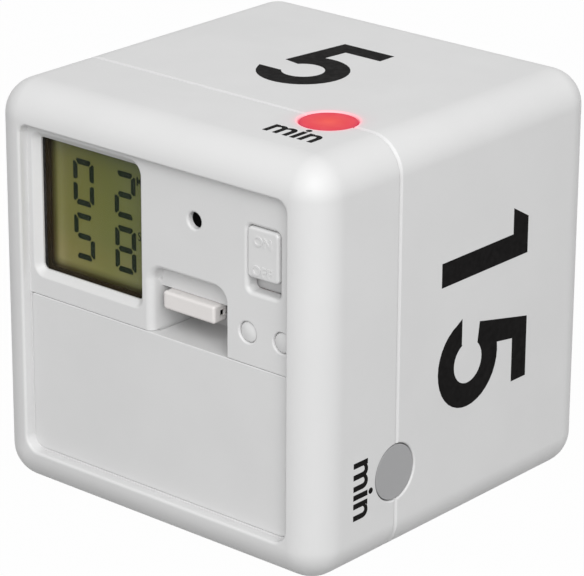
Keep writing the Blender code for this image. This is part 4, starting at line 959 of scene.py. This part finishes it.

# %% [markdown]
# ## The display
# Behind a clear pane stands a black frame, and behind that the glass. The camera looks in from the
# right and from above, so it sees the frame's left and lower walls as a black band, and the frame's
# shadow is painted into the glass's olive towards the same two sides. The segments are thin solids
# of their own in front of the glass, so that their edges stay sharp however near the camera comes.

# %% Thin flat shapes
def flat_shapes(name, outlines, low, high, place):
    """Flat outlines (shape, corner, 2) made solid between two heights, then taken to their place."""
    outlines = np.asarray(outlines, float)
    shapes, corners, _ = outlines.shape
    levels = [np.dstack([outlines, np.full((shapes, corners), level)]) for level in (low, high)]
    points = np.stack(levels, axis=1).reshape(-1, 3)
    here = np.arange(corners)
    after = (here + 1) % corners
    side = np.stack([here, after, after + corners, here + corners], axis=1)
    first = 2 * corners * np.arange(shapes)
    faces = (side + first[:, None, None]).reshape(-1, 4).tolist()
    faces += (here[::-1] + first[:, None]).tolist() + (here + corners + first[:, None]).tolist()
    mesh = bpy.data.meshes.new(name)
    mesh.from_pydata(place(points).tolist(), [], faces)
    cleaner = bmesh.new()
    cleaner.from_mesh(mesh)
    bmesh.ops.recalc_face_normals(cleaner, faces=cleaner.faces)
    caps = [face for face in cleaner.faces if len(face.verts) > 4]
    bmesh.ops.triangulate(cleaner, faces=caps, ngon_method="EAR_CLIP")
    cleaner.to_mesh(mesh)
    cleaner.free()
    return new_object(name, mesh)


def upright_at(front):
    """Stands flat shapes on the panel: across, up, and a height that comes towards the camera."""
    return lambda points: np.column_stack([points[:, 0], front - points[:, 2], points[:, 1]])


# %% The digits: seven segments each
DIGIT_WIDTH, DIGIT_HEIGHT, STROKE = 4.1, 7.0, 0.88
LIT = {"0": "abcdef", "2": "abdeg", "5": "acdfg", "8": "abcdefg"}


def segment_outlines():
    """The segments a to g of one digit in mm, clockwise from the top, each with six corners."""
    w, h, t, thin = DIGIT_WIDTH, DIGIT_HEIGHT, STROKE, 0.09
    mid = h / 2
    across = np.array([(0.75, 0), (w - 0.75, 0), (w - 0.6, -0.35),
                       (w - t - thin, -t), (t + thin, -t), (0.6, -0.35)])
    upper_left = np.array([(0, h - 0.62), (0.3, h - 0.45), (t, h - t - thin),
                           (t, mid + t / 2 + thin), (0.45, mid + 0.26), (0, mid + 0.36)])
    middle = np.array([(t * 0.75, mid), (t + thin, mid + t / 2), (w - t - thin, mid + t / 2),
                       (w - t * 0.75, mid), (w - t - thin, mid - t / 2), (t + thin, mid - t / 2)])
    top = across + (0, h)
    flip_x, flip_z = np.array([-1, 1]), np.array([1, -1])
    upper_right = upper_left * flip_x + (w, 0)
    lower_left, lower_right = upper_left * flip_z + (0, h), upper_right * flip_z + (0, h)
    shapes = (top, upper_right, lower_right, across * flip_z, lower_left, upper_left, middle)
    return dict(zip("abcdefg", shapes))


def lit_segments(rows):
    """All lit segments of the four digits, from (digit, left edge, lower edge) rows, in metres."""
    outlines = segment_outlines()
    return np.array([(outlines[s] + (left, low)) * mm for digit, left, low in rows for s in LIT[digit]])


left_column, right_column, upper_row, lower_row = -18.55, -10.42, 44.8, 36.6
shown = [("0", left_column, upper_row), ("2", right_column, upper_row),
         ("5", left_column, lower_row), ("8", right_column, lower_row)]
segments = lit_segments(shown)
glass_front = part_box("lcd_front_glass")[0].y
digits = flat_shapes("lcd_digits", segments, 0.004 * mm, 0.02 * mm, upright_at(glass_front))
print("lit segments:", len(segments))

# %% The frame behind the pane
mask_low, mask_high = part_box("display_mask")
frame_outer = rounded_ring((mask_high.x - mask_low.x) / 2, (mask_high.z - mask_low.z) / 2, 0.6 * mm,
                           ((mask_high.x + mask_low.x) / 2, (mask_high.z + mask_low.z) / 2))[0]
frame_hole = rounded_ring(9.475 * mm, 9.85 * mm, 0.5 * mm, (display_x, 44.05 * mm))[0]
frame_rings = np.stack([frame_outer, frame_outer, frame_hole, frame_hole])
frame_depths = [mask_high.y, mask_low.y, mask_low.y, mask_high.y]
lcd_frame = skin("lcd_frame", sunk(frame_rings, frame_depths), hoop=True)
print("display's frame:", len(lcd_frame.data.polygons), "faces")


# %% The display's finishes
def along_axis(tree, place, axis, start, end):
    """The share of the way along one object axis, from 0 to 1."""
    parts = tree.nodes.new("ShaderNodeSeparateXYZ")
    tree.links.new(place, parts.inputs[0])
    return share_of(tree, parts.outputs[axis], start, end)


def multiply(tree, first, second):
    """Two colour outputs multiplied."""
    made = tree.nodes.new("ShaderNodeMix")
    made.data_type = "RGBA"
    made.blend_type = "MULTIPLY"
    made.inputs[0].default_value = 1.0
    tree.links.new(first, made.inputs[6])
    tree.links.new(second, made.inputs[7])
    return made.outputs[2]


# %% The olive of the glass, with the frame's shadow painted in
glass_left, glass_right, glass_bottom, glass_top = np.array([-23.1, -3.3, 34.2, 54.2]) * mm


def olive_with_painted_shade():
    """The olive of the glass with painted shade: dark at the left and lower edges where the frame's shadow
    falls, lightest just inside them, and a little darker towards the top.
    """
    material, tree, shader, place = new_finish("olive_with_painted_shade")
    sideways = along_axis(tree, place, "X", glass_left, glass_right)
    # Painted shade: darkest at the left edge, where the frame's shadow falls on the glass, lightest just
    # inside it.
    across = ramp(tree, sideways, [(0.0, (0.020, 0.012, 0.005)), (0.015, (0.036, 0.027, 0.008)),
                                   (0.045, (0.092, 0.086, 0.024)), (0.076, (0.196, 0.188, 0.062)),
                                   (0.106, (0.205, 0.198, 0.066)), (0.15, (0.171, 0.164, 0.048)),
                                   (0.2, (0.156, 0.153, 0.038)), (0.56, (0.133, 0.141, 0.034)),
                                   (1.0, (0.134, 0.148, 0.052))])
    upwards = along_axis(tree, place, "Z", glass_bottom, glass_top)
    # Painted shade at the lower edge from the frame's shadow, a lighter band just above it, and a little
    # darker and bluer towards the top.
    painted_shading_by_height = ramp(tree, upwards, [(0.0, (0.25, 0.20, 0.21)), (0.02, (0.36, 0.30, 0.36)),
                                (0.04, (0.80, 0.74, 0.86)), (0.08, (1.26, 1.18, 1.45)),
                                (0.18, (1.17, 1.09, 1.28)), (0.33, (1.0, 1.0, 1.10)),
                                (0.5, (0.95, 0.955, 0.92)), (0.85, (0.88, 0.89, 0.92)),
                                (1.0, (0.76, 0.80, 1.20))])
    tree.links.new(multiply(tree, across, painted_shading_by_height), shader.inputs["Base Color"])
    uneven_gloss(tree, shader, place, 3 * mm, 0.20, 0.26)
    shader.inputs["Specular IOR Level"].default_value = 0.08
    return material


# %% The clear pane
def clear_pane():
    """Clear plastic that is nearly all see-through, with a soft sheen of its own."""
    material, tree, shader, place = new_finish("clear_pane")
    shader.inputs["Base Color"].default_value = (0.42, 0.43, 0.38, 1)
    hazy = spread(tree, noise(tree, place, 6 * mm), 0.010, 0.018)
    tree.links.new(hazy, shader.inputs["Alpha"])
    uneven_gloss(tree, shader, place, 4 * mm, 0.04, 0.08)
    return material


# %% Dressing the display
segment_ink = matt_black("segment_black", (0.0045, 0.009, 0.0032), 0.04)
film_black = matt_black("film_black", (0.017, 0.011, 0.004), 0.05)
paint("lcd_front_glass", olive_with_painted_shade())
paint("display_window", clear_pane())
dress(lcd_frame, film_black, "case", "black_film", "display_mask")
dress(digits, segment_ink, "case", "display_glass")
for letter, z in (("M", 50.95 * mm), ("S", 42.75 * mm)):
    place = raised_at(-5.62 * mm, z, glass_front - 0.055 * mm, 0.75)
    unit = put_words("lcd_" + letter, letter, 1.35 * mm, 0.012 * mm, place, bold=0.01)
    dress(unit, segment_ink, "case", "display_glass")
    print("unit letter", letter, "at", round(z / mm, 2), "mm")

# %% [markdown]
# ## The printed numbers
# Each number face is printed with its minutes and the word min. The print is a film a few
# hundredths of a millimetre thick. A picture on the face would do for one camera, but a film keeps
# its edges sharp from near by. The digits are drawn from straight
# edges and arcs: both 5s have the same two bowl radii, and each its own stem and tail.

# %% The figures' outlines, in mm, u in the reading direction and v away from the control face
def arc(centre, radii, start, end, steps=28):
    """Points on an ellipse from one angle to another, in degrees."""
    angle = np.radians(np.linspace(start, end, steps))
    return np.column_stack([centre[0] + radii[0] * np.cos(angle), centre[1] + radii[1] * np.sin(angle)])


def band(centre, outer, inner, start, end, steps=40):
    """The outline of a stroke between two ellipses."""
    return np.vstack([arc(centre, outer, start, end, steps), arc(centre, inner, end, start, steps)])


BOWL_OUTER, BOWL_INNER = 6.83, 3.18


def five(head, stem, bowl, tail, neck):
    """The 5 as one outline, clockwise from the bar's right end.

    head holds the bar's right, left, upper and lower limits, stem the stem's lower corners, tail the
    ends of the bowl's stroke, and neck where its outer edge ends and the corner under the bar. The
    bowl is two arcs about one middle, BOWL_OUTER and BOWL_INNER in radius.
    """
    (right, left, upper, lower), (middle_u, middle_v) = head, bowl
    (tail_in, tail_out), tail_v = tail
    corners = (stem[1], (tail_in, tail_v), (tail_out, tail_v), neck[0])
    turn = [math.degrees(math.atan2(v - middle_v, u - middle_u)) for u, v in corners]
    return np.vstack([
        [(right, upper), (left, upper), *stem],
        arc(bowl, (BOWL_INNER, BOWL_INNER), turn[0], turn[1]),
        [(tail_in, tail_v), (tail_out, tail_v)],
        arc(bowl, (BOWL_OUTER, BOWL_OUTER), turn[2], turn[3])[1:],
        [neck[1], (right, lower)],
    ])


one = np.array([(-6.8, 15.4), (-12.4, 15.4), (-14.4, 11.95), (-10.45, 11.95), (-10.45, -4.35), (-6.8, -4.35)])
five_on_top = five((5.82, -3.56, 15.39, 12.13), [(-5.09, 3.77), (-2.34, 3.26)], (0.33, 1.38),
                   ((-2.4, -6.3), -0.56), [(-1.1, 7.75), (-0.7, 12.13)])
five_of_15 = five((12.4, 3.08, 15.75, 12.35), [(0.7, 4.6), (3.75, 4.15)], (6.13, 2.0),
                  ((3.1, -0.85), 0.54), [(5.1, 8.6), (5.62, 12.35)])
print("a 5 has", len(five_on_top), "points")

# %% Thin solids on a number face
PRINT_LOW, PRINT_HIGH = -0.02, 0.015
RING_POINTS = 64


def figure(outline, turn):
    """One outline as a thin solid on a number face, its underside just below the case's skin."""
    return flat_shapes("figure", [outline * mm], half + PRINT_LOW * mm, half + PRINT_HIGH * mm,
                       lambda points: on_number_face(points, turn))


def closed_ring(middle, radii, power=1.0):
    """An ellipse of RING_POINTS points. With a power under 1 it swells towards its corners."""
    angle = np.arange(RING_POINTS) * math.tau / RING_POINTS
    u, v = [np.sign(f) * np.abs(f) ** power for f in (np.cos(angle), np.sin(angle))]
    return np.column_stack([middle[0] + radii[0] * u, middle[1] + radii[1] * v])


def ring_figure(name, outer, inner, turn):
    """The closed stroke between two rings as a thin solid on a number face."""
    rings = np.stack([outer, outer, inner, inner]) * mm
    heights = np.array([PRINT_LOW, PRINT_HIGH, PRINT_HIGH, PRINT_LOW]) * mm + half
    points = np.dstack([rings, heights[:, None] * np.ones(RING_POINTS)])
    return skin(name, on_number_face(points, turn), hoop=True)


# %% The round figures
def nought(middle, turn):
    """The 0: a stroke between two slightly squared ellipses."""
    rings = [closed_ring((middle, 5.0), radii, 0.9) for radii in ((6.3, 10.4), (2.9, 7.2))]
    return ring_figure("nought", *rings, turn)


def three(middle, turn):
    """The 3: an upper and a lower bowl that overlap in the middle, and the bar between them."""
    upper = band((middle, 10.1), (5.6, 5.3), (2.3, 2.2), 168, -88)
    lower = band((middle, 1.1), (6.4, 6.5), (3.0, 3.3), 88, -168)
    bar = np.array([(middle - 2.4, 4.45), (middle + 0.6, 4.45), (middle + 0.6, 7.65), (middle - 2.4, 7.65)])
    return [figure(part, turn) for part in (upper, lower, bar)]


def six(middle, turn):
    """The 6: a closed round bowl, and a back that sweeps up over it."""
    rings = [closed_ring((middle + 0.15, 1.3), (radius, radius)) for radius in (6.65, 3.25)]
    back = band((middle + 0.2, 4.95), (6.6, 10.45), (3.0, 7.2), 32, 200)
    return [ring_figure("bowl", *rings, turn), figure(back, turn)]


# %% The prints
MIN_MIDDLES = [(18.32, -20.87), (18.1, -21.02), (18.2, -21.0), (18.2, -21.0)]
TENS, UNITS = -7.6, 7.4
ink = matt_black("print_black", (0.005, 0.0046, 0.0046), 0.045)


def printed(name, solids):
    """A print that rides on the case, joined from solids that already lie on their face."""
    first, *others = solids
    first.name = name
    first.data.name = name
    if others:
        carve(first, others)
    return dress(first, ink, "case", "black_film")


def min_word(turn):
    """The word min, laid on a number face beside its window."""
    middle = np.array([*MIN_MIDDLES[turn], PRINT_LOW]) * mm + (0, 0, half)
    return put_words(f"print_min_{turn}", "min", 4.22 * mm, 0.035 * mm,
                     lambda points: on_number_face(points + middle, turn), bold=0.022)


printed("print_5", [figure(five_on_top, 0)])
printed("print_15", [figure(one, 1), figure(five_of_15, 1)])
printed("print_30", [*three(TENS, 2), nought(UNITS, 2)])
printed("print_60", [*six(TENS, 3), nought(UNITS, 3)])
for turn in range(4):
    dress(min_word(turn), ink, "case", "black_film")
print("numbers printed on four faces")

# %% [markdown]
# ## The inside
# With the door open the cells, their springs and the latch's room are seen, and the model
# can be taken apart. So each CAD solid inside gets its own finish. The two cells are turned
# profiles with a crimped rim, a nub and a dark sleeve with one plain paler band and no words. The
# other solids keep their CAD shape, because little of them is ever seen.

# %% The cells
def lying(points, centre, direction):
    """Turns (across, up, along) points so that along runs to the right, or to the left for -1."""
    across, up, along = np.moveaxis(points, -1, 0)
    return np.stack([centre[0] + direction * along, centre[1] + across, centre[2] + up], axis=-1)


CELL_LENGTH = 44.5 * mm


def cell_profile():
    """(radius, along) in mm from the dished negative end over the sleeve to the nub."""
    rows = [(0.0, 0.16), (3.5, 0.16), (3.9, 0.0), (4.6, 0.0), (4.95, 0.12), (5.08, 0.4), (5.08, 0.75),
            (5.2, 0.85), (5.2, 42.75), (5.08, 42.85), (5.08, 43.2), (4.95, 43.5), (4.6, 43.66),
            (3.3, 43.66), (2.9, 43.5), (2.3, 43.5), (1.95, 43.62), (1.8, 43.8), (1.8, 44.25),
            (1.72, 44.42), (1.5, 44.5), (0.0, 44.5)]
    return np.array(rows) * mm


def cell_finish(name, negative_end, direction):
    """A cell's colours along its length: steel at both ends, a dark sleeve, and a paler band."""
    material, tree, shader, place = new_finish(name)
    way = along_axis(tree, place, "X", negative_end, negative_end + direction * CELL_LENGTH)
    steel, dark, pale = (0.62, 0.61, 0.58), (0.035, 0.042, 0.055), (0.22, 0.25, 0.30)
    sleeve_start, sleeve_end, band_start = (0.0188, 0.0195), (0.9605, 0.9612), (0.86, 0.862)
    bands = [(0.0, steel), (sleeve_start[0], steel), (sleeve_start[1], dark), (band_start[0], dark),
             (band_start[1], pale), (sleeve_end[0], pale), (sleeve_end[1], steel)]
    tree.links.new(ramp(tree, way, bands), shader.inputs["Base Color"])
    shares = (0.0, 1), (sleeve_start[0], 1), (sleeve_start[1], 0), (sleeve_end[0], 0), (sleeve_end[1], 1)
    bare = [(at, (share,) * 3) for at, share in shares]
    tree.links.new(ramp(tree, way, bare), shader.inputs["Metallic"])
    uneven_gloss(tree, shader, place, 2.5 * mm, 0.22, 0.34)
    return material


for node in ("battery_lower", "battery_upper"):
    low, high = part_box(node)
    direction = 1 if high.x > -low.x else -1
    negative_end = low.x if direction > 0 else high.x
    centre = (negative_end, (low.y + high.y) / 2, (low.z + high.z) / 2)
    cell = skin(node.replace("battery", "cell"), lying(turned(cell_profile()), centre, direction))
    dress(cell, cell_finish(cell.name, negative_end, direction), "case", "cell_wrap", node)
    print(cell.name, "from", round(low.x / mm, 2), "to", round(high.x / mm, 2))


# %% The board's green
def board_green():
    """Lacquered green board: paler lines where copper runs under the lacquer."""
    material, tree, shader, place = new_finish("board_green")
    upright = tree.nodes.new("ShaderNodeMapping")
    upright.inputs["Rotation"].default_value = (math.pi / 2, 0, 0)
    tree.links.new(place, upright.inputs["Vector"])
    runs = tree.nodes.new("ShaderNodeTexBrick")
    for name, number in (("Scale", 1 / (4 * mm)), ("Mortar Size", 0.035), ("Mortar Smooth", 0.1),
                         ("Brick Width", 1.3), ("Row Height", 0.35)):
        runs.inputs[name].default_value = number
    for name, colour in (("Color1", (0.012, 0.10, 0.04)), ("Color2", (0.014, 0.12, 0.045)),
                         ("Mortar", (0.05, 0.26, 0.10))):
        runs.inputs[name].default_value = (*colour, 1)
    tree.links.new(upright.outputs["Vector"], runs.inputs["Vector"])
    tree.links.new(runs.outputs["Color"], shader.inputs["Base Color"])
    uneven_gloss(tree, shader, place, 3 * mm, 0.22, 0.32)
    return material


# %% Contact rubber and the lamps' resin
def layered_rubber():
    """Contact rubber: carbon and plain layers that alternate every tenth of a millimetre."""
    material, tree, shader, place = new_finish("layered_rubber")
    layers = tree.nodes.new("ShaderNodeTexWave")
    layers.bands_direction = "X"
    layers.inputs["Scale"].default_value = 1 / (0.64 * mm)
    tree.links.new(place, layers.inputs["Vector"])
    colour = blend_colours(tree, layers.outputs["Fac"], (0.012, 0.012, 0.013), (0.16, 0.15, 0.15))
    tree.links.new(colour, shader.inputs["Base Color"])
    uneven_gloss(tree, shader, place, 1 * mm, 0.6, 0.72)
    return material


def lamp_resin(name, glow):
    """Pale, cloudy resin. That of a lit lamp glows."""
    material = moulded_plastic(name, (0.62, 0.60, 0.54), 0.16, 0.8 * mm, 0.002 * mm)
    shader = material.node_tree.nodes["Principled BSDF"]
    shader.inputs["Emission Color"].default_value = (1.0, 0.06, 0.05, 1)
    shader.inputs["Emission Strength"].default_value = glow
    return material


# %% Finishes for the solids inside
black_plastic = moulded_plastic("black_plastic", (0.018, 0.018, 0.019), 0.42)
nickel = polished_metal("nickel", (0.62, 0.60, 0.56), 0.22, 4 * mm)
spring_wire = polished_metal("spring_wire", (0.60, 0.60, 0.59), 0.26, 2 * mm)
screw_zinc = polished_metal("screw_zinc", (0.52, 0.52, 0.53), 0.34, 1.5 * mm)
switch_steel = polished_metal("switch_steel", (0.55, 0.55, 0.56), 0.36, 3 * mm)
rolled_brass = polished_metal("rolled_brass", (0.62, 0.43, 0.16), 0.3, 3 * mm)
inner_white = moulded_plastic("inner_white", (0.60, 0.60, 0.59), 0.48)
rear_glass = moulded_plastic("rear_glass", (0.16, 0.17, 0.07), 0.12, 1 * mm, 0.001 * mm)
reflector = moulded_plastic("reflector", (0.34, 0.36, 0.17), 0.24, 0.2 * mm, 0.002 * mm)
fired_ceramic = moulded_plastic("fired_ceramic", (0.66, 0.64, 0.58), 0.55, 0.15 * mm, 0.006 * mm)
red_wire = moulded_plastic("red_wire", (0.45, 0.02, 0.015), 0.4, 0.5 * mm, 0.003 * mm)
potting_resin = moulded_plastic("potting_resin", (0.010, 0.010, 0.010), 0.2, 1.5 * mm, 0.03 * mm)
FINISHES = {
    board_green(): ["main_board"],
    layered_rubber(): ["contact_strip_upper", "contact_strip_lower"],
    inner_white: ["lcd_holder"],
    rear_glass: ["lcd_rear_glass"],
    reflector: ["lcd_reflector"],
    lamp_resin("lamp_lit", 6.0): ["led_5"],
    lamp_resin("lamp_resin", 0.0): ["led_15", "led_30", "led_60"],
    switch_steel: ["slide_switch_body", "left_key_switch", "right_key_switch"],
    black_plastic: ["slide_switch_lever", "left_key_plunger", "right_key_plunger", "tilt_plug_a",
                    "tilt_plug_b", "capacitor"],
    rolled_brass: ["buzzer_plate"],
    fired_ceramic: ["buzzer_ceramic"],
    red_wire: ["buzzer_wire_a", "buzzer_wire_b"],
    potting_resin: ["controller_drop"],
    nickel: ["clock_crystal", "tilt_can_a", "tilt_can_b", "tilt_ball_a", "tilt_ball_b"],
    spring_wire: ["battery_spring_lower", "battery_spring_upper", "bridge_contact",
                  "positive_contact", "negative_contact"],
    screw_zinc: ["board_screw_1", "board_screw_2", "board_screw_3", "board_screw_4",
                 "case_screw_left", "case_screw_right"],
}
for finish, nodes in FINISHES.items():
    for node in nodes:
        paint(node, finish)
print("solids painted inside:", sum(map(len, FINISHES.values())))

# %% [markdown]
# ## The studio
# The object stands on a plain white floor under a plain white sky. One large soft lamp hangs a
# little above the camera. It lights the front, the right side and the top nearly alike, and the sky
# lights the top most. The round edges between them face the lamp, so they are the brightest lines
# of the cube. To the camera the sky is pure white and the floor nearly so. They give the cube less
# light than that, so that it keeps its shades.

# %% White to the eye
def white_to_the_eye(tree, plain, white):
    """Mixes two shaders: the white one for what the camera, a gloss or a clear pane sees."""
    path = tree.nodes.new("ShaderNodeLightPath")
    seen = path.outputs["Is Camera Ray"]
    for name in ("Is Glossy Ray", "Is Transmission Ray"):
        either = tree.nodes.new("ShaderNodeMath")
        either.operation = "MAXIMUM"
        tree.links.new(seen, either.inputs[0])
        tree.links.new(path.outputs[name], either.inputs[1])
        seen = either.outputs[0]
    mix = tree.nodes.new("ShaderNodeMixShader")
    tree.links.new(plain, mix.inputs[1])
    tree.links.new(white, mix.inputs[2])
    return seen, mix


# %% Sky and floor
FLOOR_GREY = 0.27


def sky(strength):
    """An even sky that is white to the eye and lights the object more softly."""
    world = bpy.data.worlds.new("sky")
    bpy.context.scene.world = world
    world.use_nodes = True
    tree = world.node_tree
    plain = tree.nodes["Background"]
    plain.inputs["Color"].default_value = (1, 1, 1, 1)
    plain.inputs["Strength"].default_value = strength
    white = tree.nodes.new("ShaderNodeBackground")
    white.inputs["Color"].default_value = (1, 1, 1, 1)
    seen, mix = white_to_the_eye(tree, plain.outputs[0], white.outputs[0])
    tree.links.new(seen, mix.inputs[0])
    tree.links.new(mix.outputs[0], tree.nodes["World Output"].inputs["Surface"])


def floor_plane(side, share):
    """A wide plane under the object. It is white to the eye by a share, and the rest takes shadow."""
    corner = np.array([(-1, -1), (1, -1), (1, 1), (-1, 1)]) * side / 2
    mesh = bpy.data.meshes.new("floor")
    mesh.from_pydata(np.column_stack([corner, np.full(4, cad_low.z)]).tolist(), [], [(0, 1, 2, 3)])
    plane = new_object("floor", mesh)
    material = bpy.data.materials.new("floor_white")
    material.use_nodes = True
    tree = material.node_tree
    shader = tree.nodes["Principled BSDF"]
    shader.inputs["Base Color"].default_value = (FLOOR_GREY, FLOOR_GREY, FLOOR_GREY, 1)
    shader.inputs["Roughness"].default_value = 0.9
    white = tree.nodes.new("ShaderNodeEmission")
    seen, mix = white_to_the_eye(tree, shader.outputs[0], white.outputs[0])
    part = tree.nodes.new("ShaderNodeMath")
    part.operation = "MULTIPLY"
    part.inputs[1].default_value = share
    tree.links.new(seen, part.inputs[0])
    tree.links.new(part.outputs[0], mix.inputs[0])
    tree.links.new(mix.outputs[0], tree.nodes["Material Output"].inputs["Surface"])
    mesh.materials.append(material)


sky(strength=0.58)
floor_plane(side=4.0, share=0.985)


# %% The lamp
def soft_lamp(name, direction, distance, size, power):
    """A square area lamp that looks at the cube's middle from a direction."""
    data = bpy.data.lights.new(name, "AREA")
    data.size, data.energy = size, power
    lamp = new_object(name, data)
    towards = Vector(direction).normalized()
    lamp.location = Vector((0, 0, middle_z)) + towards * distance
    lamp.rotation_euler = towards.to_track_quat("Z", "Y").to_euler()
    return lamp


key_lamp = soft_lamp("key_lamp", direction=(0.582, -0.602, 0.546), distance=0.9, size=0.7, power=7.2)
bpy.context.scene.view_settings.view_transform = "Standard"
print("lamp at", [round(v, 3) for v in key_lamp.location])

# %% [markdown]
# ## The camera
# The cube's own edges give the camera: its sides are known, so their slopes and their shrinking in
# the picture fix where the lens stood. It is far off and long, so the edges run almost parallel.

# %% The camera
PHOTO_WIDTH = 584
FILM_WIDTH = 36.0


def photograph_camera(azimuth, elevation, roll, distance, aim_right, aim_down, focal_pixels):
    """A camera that looks back along an azimuth and an elevation, and is then rolled and aimed."""
    a, e, r = map(math.radians, (azimuth, elevation, roll))
    back = Vector((math.sin(a) * math.cos(e), -math.cos(a) * math.cos(e), math.sin(e)))
    level = Vector((math.cos(a), math.sin(a), 0))
    upright = back.cross(level)
    right = level * math.cos(r) + upright * math.sin(r)
    up = upright * math.cos(r) - level * math.sin(r)
    place = Vector((0, 0, middle_z)) - right * aim_right + up * aim_down + back * distance
    data = bpy.data.cameras.new("camera")
    data.sensor_width = FILM_WIDTH
    data.lens = focal_pixels * FILM_WIDTH / PHOTO_WIDTH
    data.clip_start, data.clip_end = 0.01, 20.0
    camera = new_object("camera", data)
    camera.matrix_world = Matrix.Translation(place) @ Matrix((right, up, back)).transposed().to_4x4()
    bpy.context.scene.camera = camera
    return camera


camera = photograph_camera(azimuth=40.81, elevation=20.971, roll=0.300, distance=475.966 * mm,
                           aim_right=0.288 * mm, aim_down=-2.078 * mm, focal_pixels=3238.15)
print("camera at", [round(v, 3) for v in camera.location], "lens", round(camera.data.lens, 1), "mm")
